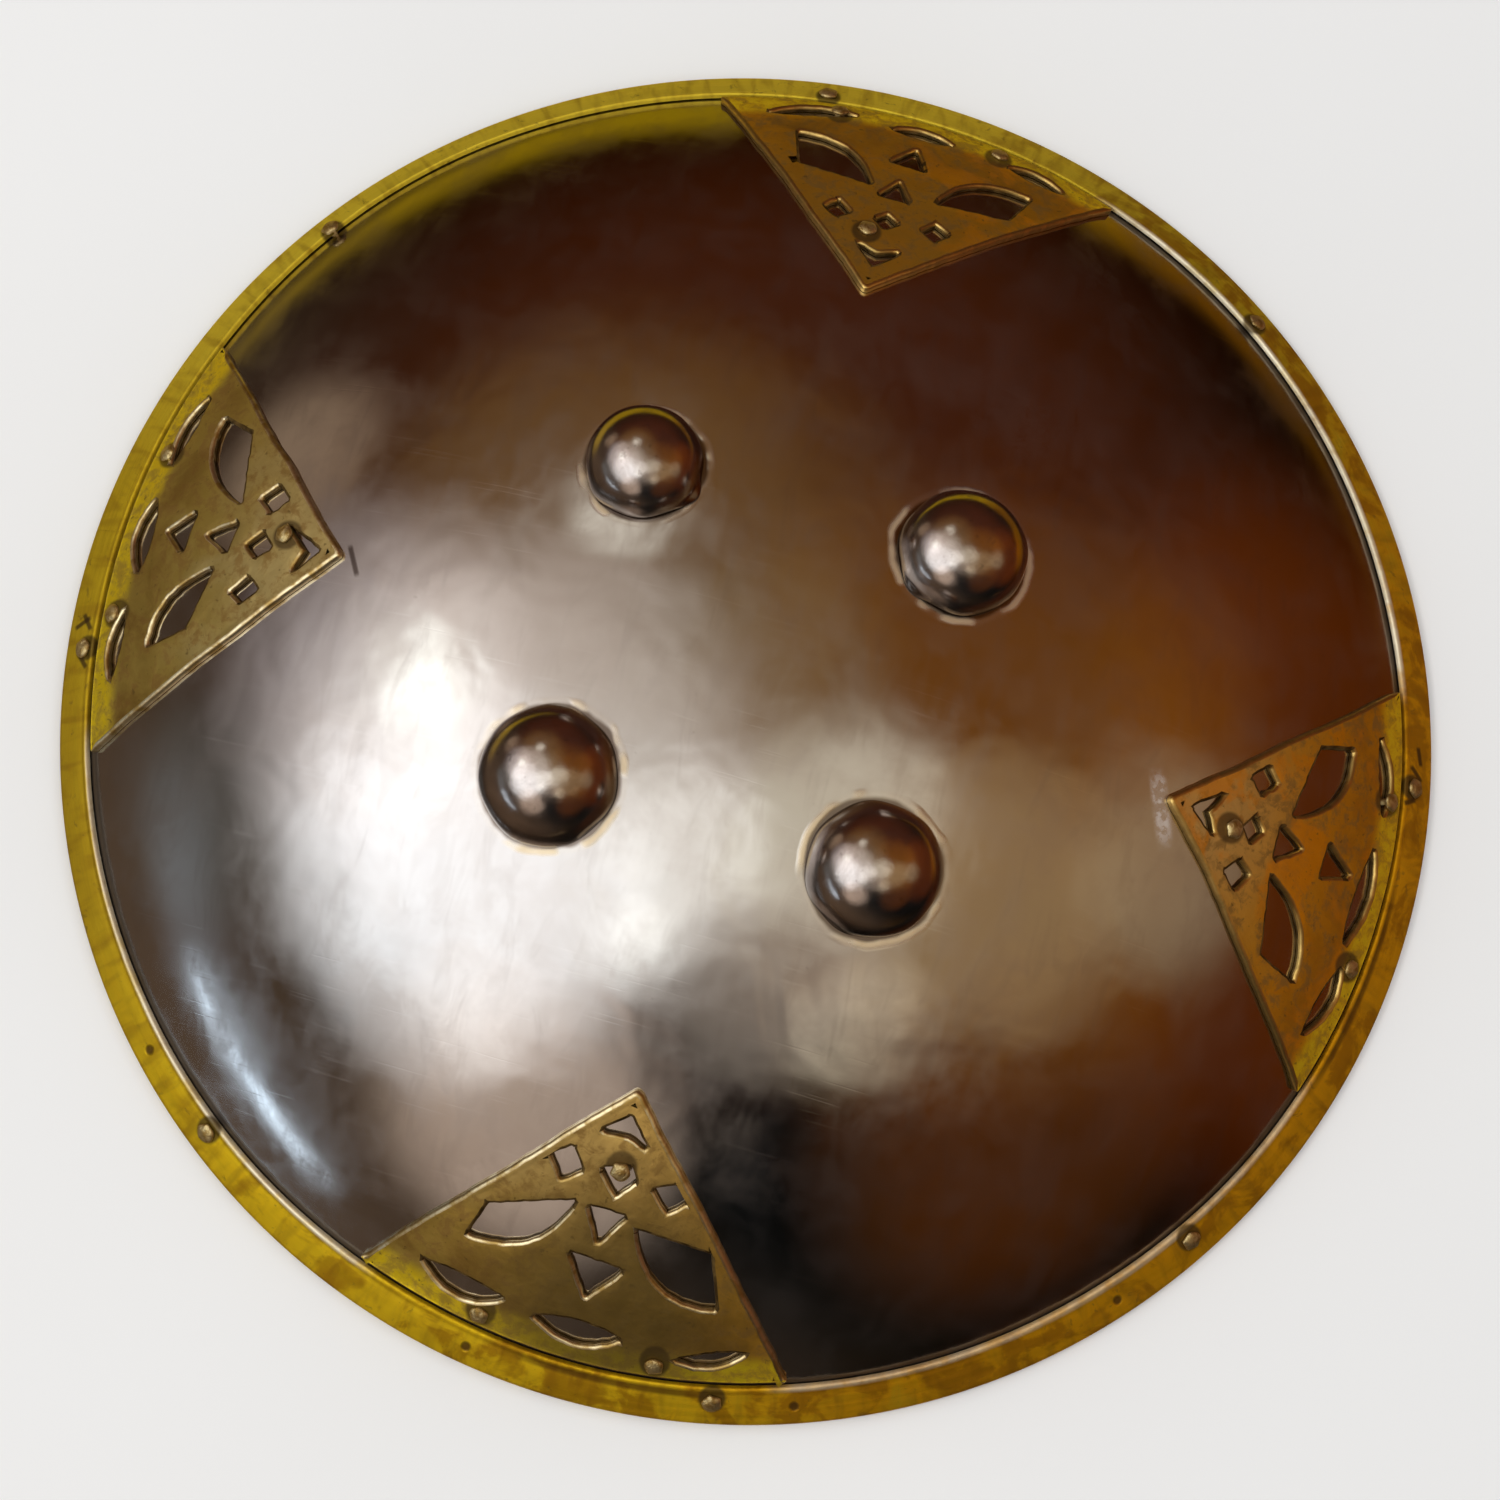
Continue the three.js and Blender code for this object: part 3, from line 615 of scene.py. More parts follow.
def worn_highlit_brass():
    """The cut and rounded edges of the plates, rubbed pale and painted with a highlight."""
    s = Shader("worn_highlit_brass")
    patchy = s.noise(s.place, 0.22, 4.0, 0.6, 0.4)
    pale = s.mix(s.remap(s.toward(WARM_REFLECTION_SIDE), -0.5, 0.3), (0.90, 0.78, 0.48), (0.74, 0.50, 0.16))
    s.color = s.mix(s.remap(patchy, 0.38, 0.62), pale, (0.50, 0.34, 0.11))
    return s.finish(s.remap(patchy, 0.3, 0.7, 0.28, 0.42), normal=s.bump(patchy, 0.1, 0.6))


def shaded_wall_brass():
    """The walls of piercings that face away from the shield's centre, in painted shade."""
    s = Shader("shaded_wall_brass")
    patchy = s.noise(s.place, 0.3, 4.0, 0.6, 0.4)
    s.color = s.mix(s.remap(patchy, 0.38, 0.66), (0.11, 0.07, 0.025), (0.30, 0.20, 0.07))
    return s.finish(s.remap(patchy, 0.3, 0.7, 0.5, 0.7), normal=s.bump(patchy, 0.1, 0.6))


def mottled_metal(name, pattern, light, dark, rough, relief):
    """A metal whose tone, shine and relief follow one pattern of noise."""
    s = Shader(name)
    mottled = s.noise(s.place, *pattern)
    s.color = s.mix(s.remap(mottled, 0.4, 0.65), light, dark)
    return s.finish(s.remap(mottled, 0.3, 0.7, *rough), normal=s.bump(mottled, relief, 0.8))


def grip_leather():
    s = Shader("grip_leather")
    pores = s.remap(s.cells("DISTANCE_TO_EDGE", 0.9), 0.02, 0.22)
    worn = s.noise(s.place, 0.06, 5.0, 0.65, 0.7)
    s.color = s.mix(s.remap(worn, 0.35, 0.7), (0.055, 0.026, 0.014), (0.12, 0.060, 0.032))
    s.tint(s.remap(pores, 0.0, 1.0, 0.5, 0.0), (0.02, 0.010, 0.006))
    crease = s.bump(s.noise(s.place, 0.18, 5.0, 0.6, 1.0), 0.8, 0.6)
    fine = s.bump(pores, 0.18, 0.8, crease)
    return s.finish(s.remap(worn, 0.3, 0.7, 0.48, 0.72), 0.0, fine)


steel = steel_face()
steel_behind = steel_back()
rim_finish = rim_brass()
plate_finish = plate_brass()
worn_highlit_finish = worn_highlit_brass()
shaded_wall_finish = shaded_wall_brass()
rivet_finish = mottled_metal(
    "rivet_brass", (0.5, 4.0, 0.6, 0.5), (0.74, 0.60, 0.30), (0.42, 0.27, 0.08), (0.40, 0.56), 0.5)
boss_finish = boss_steel()
washer_finish = mottled_metal(
    "washer_steel", (0.3, 5.0, 0.65, 0.6), (0.32, 0.29, 0.27), (0.17, 0.10, 0.06), (0.4, 0.65), 0.3)
leather = grip_leather()


# Steel bowl
def bowl():
    turns = np.arange(ROUND) * 2 * math.pi / ROUND
    front, back = [], []
    for radius in [*np.arange(2.0, 129, 2.2), *np.arange(129.5, 140, 0.8), *np.linspace(141, fold_centre, 5)]:
        x, y = radius * np.cos(turns), radius * np.sin(turns)
        front.append(on_shield(x, y, 0))
        back.append(on_shield(x, y, -STEEL))
    rows = [[on_shield(0, 0, 0)], *front, *back[::-1], [on_shield(0, 0, -STEEL)]]
    points, faces = skin(rows, closed=False)
    piece = make_piece("bowl", points, faces, steel, ["steel_bowl"], sharp=50)
    piece.data.materials.append(steel_behind)
    for face in piece.data.polygons:
        face.material_index = 1 if face.normal.z < 0 else 0


def edge_drift(turns):
    """How far out the band's inner edge strays; the band is narrowest at the upper left of the photograph."""
    narrow = 2.4 * np.exp(-(np.angle(np.exp(1j * (turns - math.radians(137)))) / math.radians(40)) ** 2)
    wander = 0.22 * np.sin(2 * turns + 0.6) + 0.15 * np.sin(5 * turns + 2.1) + 0.08 * np.sin(11 * turns)
    return narrow + wander + 0.2


# Brass rim: over the face, round the edge and back underneath
RIM_LIP = [     # distance outwards from the band's inner edge, height over the steel
    (0.0, GAP), (0.0, 0.95), (0.1, 1.22), (0.35, 1.42), (0.7, 1.46), (1.0, 1.36),
    (1.25, 1.2), (1.5, 1.16), (1.9, 1.22), (2.8, 1.32), (3.8, 1.36), (4.9, 1.34),
]


def rim():
    turns = np.arange(2 * ROUND) * math.pi / ROUND
    x, y = np.cos(turns), np.sin(turns)
    drift = edge_drift(turns)
    swell = 0.06 * waves(40 * x, 40 * y, 16, 5) + 0.04 * waves(150 * x, 150 * y, 9, 6)
    rows = []
    for inset, height in RIM_LIP:
        radius = RIM_FRONT + inset + drift * max(0.0, 1 - inset / 6)
        rows.append(on_shield(radius * x, radius * y, height + (swell if height > 1 else 0)))
    top = 90 - math.degrees(FLANGE_SLOPE)
    fold = arc(fold_centre, fold_radius * math.cos(FLANGE_SLOPE), fold_radius, fold_radius, top, -top, 14)
    fold.append((fold_centre - fold_radius * math.sin(FLANGE_SLOPE), 0))
    for radius, z in fold:
        rows.append(np.stack([radius * x, radius * y, np.full_like(x, z)], axis=-1))
    under = -STEEL - GAP
    for radius, height in (
        (RIM_BACK + 0.15, under - RIM_BRASS), (RIM_BACK, under - 0.8 * RIM_BRASS), (RIM_BACK, under),
        (fold_centre + GAP, under), (fold_centre + GAP, GAP),
    ):
        rows.append(on_shield(radius * x, radius * y, height))
    for row in rows:
        row[:, 2] = row[:, 2].clip(min=0)
    points, faces = skin(rows)
    make_piece("rim", points, faces, rim_finish, ["rim_band"], sharp=40)


# Pierced plates, each drawn with x out from the shield's centre. Every plate was cut by hand, so each has its
# own corners and piercings. A piercing is a list of corners, each with the bulge of the side after it.
def petal(tip, inner_end, outer_end, bulge):
    return [(tip, None), (inner_end, None), (outer_end, bulge)]


def crescent(start, end, outward, inward):
    """From one end of the crescent to the other along the outer curve and back along the inner one."""
    return [(start, outward), (end, inward)]


def cut(*corners):
    return [(corner, None) for corner in corners]


PLATES = [
    {
        "point": (88.0, -0.6), "corners": ((135.6, -47.8), (136.6, 44.4)),
        "piercings": [
            cut((94.0, -0.4), (100.5, 5.0), (97.6, -0.2), (100.3, -5.0)),
            cut((106.2, -0.3), (108.2, 2.9), (110.6, 0.3), (108.5, -2.9)),
            cut((105.4, 10.4), (108.6, 14.0), (111.4, 11.2), (108.4, 7.6)),
            cut((104.3, -10.6), (107.3, -7.2), (110.1, -9.4), (107.5, -13.4)),
            petal((116.6, 6.2), (119.8, 22.9), (127.8, 26.0), (130.5, 11.8)),
            petal((115.0, -7.6), (117.6, -23.5), (126.6, -26.4), (128.4, -13.2)),
            cut((114.6, -4.3), (120.8, 0.4), (114.6, 3.4)),
            cut((126.6, -3.6), (134.2, -0.5), (127.0, 4.2)),
            crescent((134.2, 31.4), (138.8, 15.4), (141.4, 24.4), (135.2, 24.0)),
            crescent((138.6, 7.2), (136.6, -14.8), (143.2, -3.6), (135.4, -4.0)),
            crescent((137.6, -19.6), (132.6, -35.6), (140.4, -28.4), (133.6, -27.0)),
        ],
    },
    {
        "point": (86.6, 1.0), "corners": ((135.5, -47.2), (135.8, 46.4)),
        "piercings": [
            cut((94.2, 0.8), (99.8, 6.2), (97.8, 0.9), (100.2, -4.6)),
            cut((105.3, 0.9), (107.4, 3.4), (109.9, 1.2), (107.5, -1.8)),
            cut((105.4, 11.7), (107.8, 15.0), (110.8, 12.4), (107.6, 8.9)),
            cut((105.6, -10.2), (107.8, -6.9), (111.0, -9.4), (108.8, -13.0)),
            petal((117.8, 6.6), (119.4, 23.4), (129.6, 26.4), (131.4, 12.2)),
            petal((117.4, -8.2), (119.4, -24.4), (128.6, -28.4), (130.8, -12.8)),
            cut((114.8, -2.8), (121.2, 0.9), (115.0, 4.6)),
            cut((126.4, -3.9), (133.6, -0.6), (126.8, 4.6)),
            crescent((134.6, 34.6), (140.2, 14.6), (142.2, 26.0), (135.8, 25.0)),
            crescent((138.4, 6.2), (138.6, -8.2), (143.4, -0.8), (136.4, -1.2)),
            crescent((137.2, -21.6), (134.6, -35.2), (140.4, -29.2), (133.8, -28.0)),
        ],
    },
    {
        "point": (89.4, -1.0), "corners": ((135.4, -46.6), (134.9, 49.2)),
        "piercings": [
            cut((94.8, -1.0), (99.9, 5.4), (98.0, -0.6), (104.2, -5.8)),
            cut((106.0, 0.1), (108.9, 2.7), (112.0, 0.2), (109.0, -3.1)),
            cut((106.0, 9.4), (109.0, 12.9), (112.0, 10.8), (108.9, 7.1)),
            cut((105.6, -11.0), (108.8, -7.5), (112.1, -10.4), (108.9, -13.8)),
            petal((118.0, 6.4), (120.5, 20.0), (128.4, 25.0), (130.6, 13.2)),
            petal((116.6, -8.8), (120.4, -25.4), (128.6, -28.4), (131.2, -14.6)),
            cut((115.6, -4.6), (122.4, -0.8), (116.2, 2.6)),
            cut((126.7, -5.9), (132.7, -0.8), (127.1, 4.0)),
            crescent((135.6, 33.4), (137.2, 17.8), (140.8, 26.4), (135.0, 25.0)),
            crescent((137.0, 9.2), (138.6, -8.0), (144.0, 1.4), (135.2, 0.8)),
            crescent((138.2, -16.6), (134.8, -33.4), (141.0, -26.0), (135.0, -24.6)),
        ],
    },
    {
        "point": (87.4, 1.0), "corners": ((135.6, -46.8), (135.7, 46.8)),
        "piercings": [
            cut((93.0, 0.8), (98.7, 6.3), (96.9, 1.4), (97.4, -4.6)),
            cut((102.3, 3.4), (105.0, 5.2), (108.9, 2.0), (104.4, -2.2)),
            cut((103.6, 13.2), (106.2, 16.4), (109.2, 12.9), (105.4, 8.9)),
            cut((101.8, -8.8), (105.8, -5.8), (108.7, -9.6), (104.4, -12.8)),
            petal((114.2, 8.0), (114.8, 23.8), (125.4, 28.0), (128.6, 13.4)),
            petal((112.0, -5.6), (117.6, -22.8), (124.6, -25.4), (125.6, -9.4)),
            cut((112.2, -2.8), (119.2, 1.0), (112.2, 5.2)),
            cut((122.2, -4.2), (130.4, 1.4), (122.8, 7.6)),
            crescent((132.4, 36.6), (137.8, 22.8), (138.8, 31.6), (133.6, 29.8)),
            crescent((136.8, 10.8), (137.0, -8.0), (143.4, 1.8), (134.0, 1.4)),
            crescent((135.4, -14.8), (132.2, -33.4), (141.2, -25.2), (132.6, -23.6)),
        ],
    },
]
PLATE_FOOT = 0.12
POINT_ROUND = 1.5
PIERCING_ROUND = 0.55
HAMMERED = 0.03
PLAIN, WORN_HIGHLIT, SHADED_WALL = range(3)       # the finishes of a plate's faces
# The pale steps of the edge are worn and carry a painted highlight
WORN_LEVELS = 5                     # how many steps of the edge's section are rubbed pale
EDGE_SECTION = [  # from the plate's outer edge inwards: distance, height over the steel
    (0.0, 0.75), (0.1, 1.12), (0.3, 1.4), (0.6, 1.54),
    (0.95, 1.58), (1.3, 1.56), (1.65, 1.52), (2.0, PLATE_TOP),
]
HOLE_SECTION = [  # from a piercing's edge into the brass
    (0.0, 0.7), (0.08, 1.02), (0.2, 1.28), (0.4, 1.44), (0.72, PLATE_TOP + 0.02),
]


def bent(start, bulge, end, step=1.2):
    """Points along a bent side, between its ends."""
    start, bulge, end = (np.array(place, float) for place in (start, bulge, end))
    count = max(4, int(np.linalg.norm(end - start) / step))
    t = np.linspace(0, 1, count + 1)[1:-1, None]
    return list((1 - t) ** 2 * start + 2 * t * (1 - t) * bulge + t ** 2 * end)


def piercing_loop(sides):
    """The outline of one piercing as points."""
    loop = []
    for (corner, bulge), (end, _) in zip(sides, sides[1:] + sides[:1]):
        loop.append(np.array(corner, float))
        if bulge is not None:
            loop.extend(bent(corner, bulge, end))
    return np.array(loop)


def area(loop):
    x, y = loop[:, 0], loop[:, 1]
    return 0.5 * float(np.sum(x * np.roll(y, -1) - np.roll(x, -1) * y))


def rounded(loop, radius):
    """Rounds each sharp outward corner of a loop that runs the positive way."""
    result = []
    count = len(loop)
    for i in range(count):
        before, here, after = loop[i - 1], loop[i], loop[(i + 1) % count]
        first, second = here - before, after - here
        turn = math.atan2(first[0] * second[1] - first[1] * second[0], float(np.dot(first, second)))
        if turn < math.radians(28):
            result.append(here)
            continue
        reach = min(radius * math.tan(turn / 2), 0.4 * np.linalg.norm(first), 0.4 * np.linalg.norm(second))
        start = here - first / np.linalg.norm(first) * reach
        end = here + second / np.linalg.norm(second) * reach
        result.append(start)
        for t in (0.25, 0.5, 0.75):
            result.append((1 - t) ** 2 * start + 2 * t * (1 - t) * here + t ** 2 * end)
        result.append(end)
    return np.array(result)


def divided(loop, step):
    """The same loop with its long sides divided."""
    result = []
    for i, here in enumerate(loop):
        after = loop[(i + 1) % len(loop)]
        parts = max(1, int(np.linalg.norm(after - here) / step))
        for k in range(parts):
            result.append(here + (after - here) * k / parts)
    return np.array(result)


def into_metal(loop, distance):
    """The loop moved to the left of its own way by a distance, or by one distance for each point."""
    before = loop - np.roll(loop, 1, axis=0)
    after = np.roll(loop, -1, axis=0) - loop
    sides = [way / np.linalg.norm(way, axis=1)[:, None] for way in (before, after)]
    first, second = (np.stack([-way[:, 1], way[:, 0]], axis=1) for way in sides)
    share = np.maximum(1 + np.sum(first * second, axis=1), 0.35)
    return loop + (first + second) / share[:, None] * np.reshape(distance, (-1, 1))


def inside(points, loop):
    """Which points lie inside a loop."""
    x, y = points[:, 0][:, None], points[:, 1][:, None]
    ax, ay = loop[:, 0][None], loop[:, 1][None]
    bx, by = np.roll(loop[:, 0], -1)[None], np.roll(loop[:, 1], -1)[None]
    crosses = (ay > y) != (by > y)
    where = ax + (y - ay) / np.where(by == ay, 1e-12, by - ay) * (bx - ax)
    return np.sum(crosses & (x < where), axis=1) % 2 == 1


def plate_loops(number, draw):
    """A plate's outline and its piercings, each with its edge section and how far that reaches inwards."""
    spec = PLATES[number]
    sweep = np.linspace(*(math.atan2(y, x) for x, y in spec["corners"]), 60)
    end = PLATE_END + edge_drift(sweep + math.radians(PLATE_ANGLES[number]))
    base = np.stack([end * np.cos(sweep), end * np.sin(sweep)], axis=1)
    outline = divided(rounded(np.vstack([base, [spec["point"]]]), POINT_ROUND), 1.6)
    on_base = np.hypot(outline[:, 0], outline[:, 1]) > PLATE_END - 0.4
    rub = 0.14 * np.convolve(draw.normal(size=len(outline) + 8), np.ones(9) / 9 ** 0.5, "valid")
    outline = into_metal(outline, np.where(on_base, 0.0, rub + 0.1))
    loops = [(outline, EDGE_SECTION, np.where(on_base, 0.25, 1.0))]
    for sides in spec["piercings"]:
        hole = piercing_loop(sides)
        if area(hole) < 0:
            hole = hole[::-1]
        hole = divided(rounded(hole, PIERCING_ROUND), 1.2)[::-1]
        hole = into_metal(hole, 0.07 * draw.normal(size=len(hole)))
        loops.append((hole, HOLE_SECTION, np.ones(len(hole))))
    return loops


def filled(border, spans, draw):
    """A grid of places between the loops of a border, and triangles over the border and the grid together."""
    def in_metal(places):
        outline, *holes = (border[first: first + count] for first, count in spans)
        metal = inside(places, outline)
        for hole in holes:
            metal &= ~inside(places, hole)
        return metal

    grid = np.stack(np.meshgrid(np.arange(86, 144, 1.7), np.arange(-50, 50, 1.7)), axis=-1).reshape(-1, 2)
    grid += draw.uniform(-0.2, 0.2, grid.shape)
    clear = np.min(np.linalg.norm(grid[:, None] - border[None], axis=2), axis=1) > 0.9
    grid = grid[in_metal(grid) & clear]
    every = np.vstack([border, grid])
    edges = [(first + k, first + (k + 1) % count) for first, count in spans for k in range(count)]
    result = geometry.delaunay_2d_cdt([Vector(place) for place in every], edges, [], 0, 1e-5)
    source = [ids[0] if ids else None for ids in result[3]]
    triangles = [[source[v] for v in face] for face in result[2]]
    triangles = np.array([ids for ids in triangles if None not in ids])
    return grid, triangles[in_metal(np.mean(every[triangles], axis=1))].tolist()


def plate(number):
    draw = np.random.default_rng(40 + number)
    loops = plate_loops(number, draw)
    turn = math.radians(PLATE_ANGLES[number])
    spin = np.array([[math.cos(turn), math.sin(turn)], [-math.sin(turn), math.cos(turn)]])
    points, faces, finishes = [], [], []

    def add(flat, height):
        """Stands points over places of the plate and gives the number of the first."""
        first = len(points)
        world = flat @ spin
        points.extend(on_shield(world[:, 0], world[:, 1], height, at=PLATE_TOP))
        return first

    # Walls and rounded edges
    rims, spans, border = [], [], []
    for loop, section, reach in loops:
        count = len(loop)
        rings = [add(loop, PLATE_FOOT)]
        for distance, height in section:
            ring = into_metal(loop, distance * reach)
            rough = HAMMERED * waves(ring[:, 0], ring[:, 1], 5, 60 + number) if distance > 0.3 else 0
            rings.append(add(ring, height + rough))
        ahead = np.roll(loop, -1, axis=0) - loop
        facing = -ahead[:, 1] / np.linalg.norm(ahead, axis=1)
        for level, (low, high) in enumerate(zip(rings, rings[1:])):
            for k in range(count):
                after = (k + 1) % count
                faces.append((low + k, low + after, high + after, high + k))
                if section is EDGE_SECTION:
                    finishes.append(WORN_HIGHLIT if level < WORN_LEVELS else PLAIN)
                else:
                    # Piercing walls that face the shield's centre get a painted highlight, the others painted
                    # shade
                    finishes.append(WORN_HIGHLIT if facing[k] > 0.3 and level > 0 else SHADED_WALL)
        rims.append((rings[0], rings[-1]))
        spans.append((len(border), count))
        border.extend(into_metal(loop, section[-1][0] * reach))

    # Face and back
    border = np.array(border)
    grid, triangles = filled(border, spans, draw)
    x, y = grid[:, 0], grid[:, 1]
    marks = HAMMERED * waves(x, y, 5, 60 + number) + 0.05 * waves(x, y, 11, 70)
    face_grid = add(grid, PLATE_TOP + marks)
    back = add(np.vstack([border, grid]), PLATE_FOOT)
    face = []
    for (foot, top), (first, count) in zip(rims, spans):
        face.extend(range(top, top + count))
        for k in range(count):
            after = (k + 1) % count
            faces.append((foot + k, back + first + k, back + first + after, foot + after))
    face.extend(range(face_grid, face_grid + len(grid)))
    for a, b, c in triangles:
        faces.append((face[a], face[b], face[c]))
        faces.append((back + c, back + b, back + a))
    nodes = [f"pierced_plate_{number + 1}"]
    piece = make_piece(f"plate_{number + 1}", points, faces, plate_finish, nodes, sharp=60)
    piece.data.materials.append(worn_highlit_finish)
    piece.data.materials.append(shaded_wall_finish)
    for polygon, finish in zip(piece.data.polygons, finishes):
        polygon.material_index = finish


# Rivets: crude domed heads, a shank through the stack, and a peened tail behind
def rivet(node, place, slot_top, slot_bottom, sizes, seed):
    draw = np.random.default_rng(seed)
    phase, lean = draw.uniform(0, 2 * math.pi, 3), draw.uniform(0.06, 0.12, 2)
    head, rise, tail, tail_rise = sizes
    top, bottom = slot_top + RIVET_PLAY, slot_bottom - RIVET_PLAY

    def hand_made(angles, z):
        wave = lean[0] * np.sin(2 * angles + phase[0]) + lean[1] * np.sin(3 * angles + phase[1])
        return 1 - np.abs(wave)

    outline = [
        *arc(0, bottom - TAIL_EDGE, tail, tail_rise - TAIL_EDGE, -90, 0, 6),
        (tail * 0.96, bottom), (SHANK, bottom), (SHANK, top), (head * 0.94, top),
        *arc(0, top + HEAD_EDGE, head, rise - HEAD_EDGE, 0, 90, 9),
    ]
    points, faces = turned(outline, place, 28, hand_made)
    make_piece(node + "_head", points, faces, rivet_finish, [node], sharp=50)


def rivets():
    for i in range(len(PLATE_ANGLES)):
        for name, radius, angle in plate_rivets(i):
            node = f"plate_{i + 1}_rivet_{name}"
            rivet(node, on_face(radius, angle), PLATE_TOP, SEAT_BEHIND, PLATE_RIVET, 100 + 3 * i + len(name))
    for i, angle in enumerate(RIM_RIVET_ANGLES):
        place = on_face(SHIELD_RADIUS - RIM_RIVET_INSET, angle)
        rivet(f"rim_rivet_{i + 1}", place, GAP + RIM_BRASS, -STEEL - GAP - RIM_BRASS, RIM_RIVET, 200 + i)


# Bosses: hollow domes with a stem that goes through the bowl, a grip and a washer
def facet_sag(radius):
    """How far the CAD model's flat facets lie inside the true surface, which its seats allow for."""
    ring = BOWL_RADIUS * (1 - math.cos(math.radians(7) / 2))
    return ring + radius * (1 - math.cos(math.pi / 40)) * math.sin(edge_slope)


heel_reach = WASHER_RADIUS + GRIP_HEEL
pad_reach = math.hypot(max(GRIP_TOE, heel_reach), GRIP_WIDTH / 2)
behind_bowl = BOWL_RADIUS - STEEL - facet_sag(BOSS_CIRCLE) - GAP
grip_seat = math.sqrt(behind_bowl ** 2 - pad_reach ** 2) - BOWL_RADIUS
washer_top = grip_seat - GRIP_LEATHER - GAP
stem_head_top = washer_top - WASHER_THICKNESS - GAP
boss_places = [on_face(BOSS_CIRCLE, angle) for angle in BOSS_ANGLES]
BOSS_LIPS = [(3.3, 1.0), (3.6, 1.5), (0.4, 0.4), (5.2, 0.5)]   # where a base sticks out, and by how much


def boss(number):
    radius = BOSS_RADII[number]
    height = BOSS_HEIGHT * radius - BOSS_CLEAR
    base = GAP - radius ** 2 / (2 * BOWL_RADIUS)
    inner, inner_height = radius - BOSS_WALL, height - BOSS_WALL
    draw = np.random.default_rng(300 + number)
    phases = draw.uniform(0, 2 * math.pi, 4)
    lip_angle, lip_size = BOSS_LIPS[number]

    def hand_made(angles, z):
        up = z - base if z > base - 0.1 else math.inf
        low, foot = max(0.0, 1 - up / (0.6 * height)), max(0.0, 1 - up / 1.3)
        facets = 0.012 * np.sin(7 * angles + phases[0]) + 0.010 * np.sin(4 * angles + phases[1])
        egg = 0.010 * np.sin(2 * angles + phases[2])
        away = np.angle(np.exp(1j * (angles - lip_angle)))
        flap = lip_size / radius * np.exp(-(away / 0.28) ** 2)
        return 1 - 0.012 + low * facets + egg + foot * flap

    head = arc(0, stem_head_top - 0.25, STEM_HEAD_RADIUS, STEM_HEAD_RISE - 0.25, -90, 0, 8)
    stem_angle = math.degrees(math.acos(STEM_RADIUS / inner))
    outline = [
        *head, (STEM_HEAD_RADIUS * 0.95, stem_head_top), (STEM_RADIUS, stem_head_top),
        *arc(0, base, inner, inner_height, stem_angle, 0, 12),
        (radius - 0.3, base), (radius - 0.08, base + 0.1),
        *arc(0, base + BOSS_EDGE, radius, height - BOSS_EDGE, 0, 90, 34),
    ]
    points, faces = turned(outline, boss_places[number], 96, hand_made)
    nodes = [f"boss_{number + 1}"]
    make_piece(f"boss_{number + 1}_dome", points, faces, boss_finish, nodes, sharp=45)


def washer(number):
    inner = STEM_RADIUS + GAP
    low, high = washer_top - WASHER_THICKNESS, washer_top
    outline = [
        (inner, low + 0.15), (inner + 0.15, low), (WASHER_RADIUS - 0.35, low),
        (WASHER_RADIUS - 0.1, low + 0.1), (WASHER_RADIUS, low + 0.35), (WASHER_RADIUS, high), (inner, high),
    ]
    points, faces = turned(outline, boss_places[number], 48)
    nodes = [f"grip_washer_{number + 1}"]
    make_piece(f"washer_{number + 1}", points, faces, washer_finish, nodes, sharp=40)


# Grips: leather straps with rounded edges, a foot under each of two stems and a bow between them
def grip(number, side):
    stem = boss_places[0].translation
    lean = math.atan2(stem.y, stem.z - BOWL_CENTRE)
    stem_angle = math.atan2(stem.x, math.hypot(stem.y, stem.z - BOWL_CENTRE))
    out = np.array([math.sin(stem_angle), math.cos(stem_angle)])
    way = np.array([out[1], -out[0]])
    seat = BOWL_RADIUS + grip_seat - GRIP_LEATHER / 2

    def foot(reach):
        return out * seat + way * reach

    heel = foot(-heel_reach)
    middle = np.array([0, heel[1] - GRIP_DROP])
    controls = [heel, heel - way * GRIP_BEND_HEEL, np.array([GRIP_BEND_MIDDLE, middle[1]]), middle]
    t = np.linspace(0, 1, 26)[:, None]
    bow = (
        (1 - t) ** 3 * controls[0] + 3 * t * (1 - t) ** 2 * controls[1]
        + 3 * t ** 2 * (1 - t) * controls[2] + t ** 3 * controls[3]
    )
    half = np.vstack([[foot(GRIP_TOE - k) for k in (0, 0.5, 1.5, 4, 8, 12)], bow])
    path = np.vstack([half[:-1], (half * [-1, 1])[::-1]])
    forward = np.gradient(path, axis=0)
    forward /= np.linalg.norm(forward, axis=1)[:, None]
    normal = np.stack([-forward[:, 1], forward[:, 0]], axis=1)
    width, thick, soft = GRIP_WIDTH / 2, GRIP_LEATHER / 2, 0.9
    section = []
    for across, up, start in ((1, 1, 0), (-1, 1, 90), (-1, -1, 180), (1, -1, 270)):
        for a in np.linspace(start, start + 90, 5):
            section.append((
                across * (width - soft) + soft * math.cos(math.radians(a)),
                up * (thick - soft) + soft * math.sin(math.radians(a)),
            ))
    tilt = Matrix.Translation((0, 0, BOWL_CENTRE)) @ Matrix.Rotation(math.pi / 2 - side * lean, 4, "X")
    rows = []
    last = len(path) - 1
    for i, (point, up) in enumerate(zip(path, normal)):
        narrow = {0: 0.9, last: 0.9, 1: 0.99, last - 1: 0.99}.get(i, 1.0)
        row = []
        for across, height in section:
            flat = point + up * height * (0.8 if i in (0, last) else 1)
            row.append(tilt @ Vector((flat[0], flat[1], across * narrow)))
        rows.append(row)
    ends = [[sum(rows[i], Vector()) / len(rows[i])] for i in (0, last)]
    points, faces = skin([ends[0], *rows, ends[1]], closed=False)
    make_piece(f"strap_{number}", points, faces, leather, [f"grip_strap_{number}"], sharp=60)


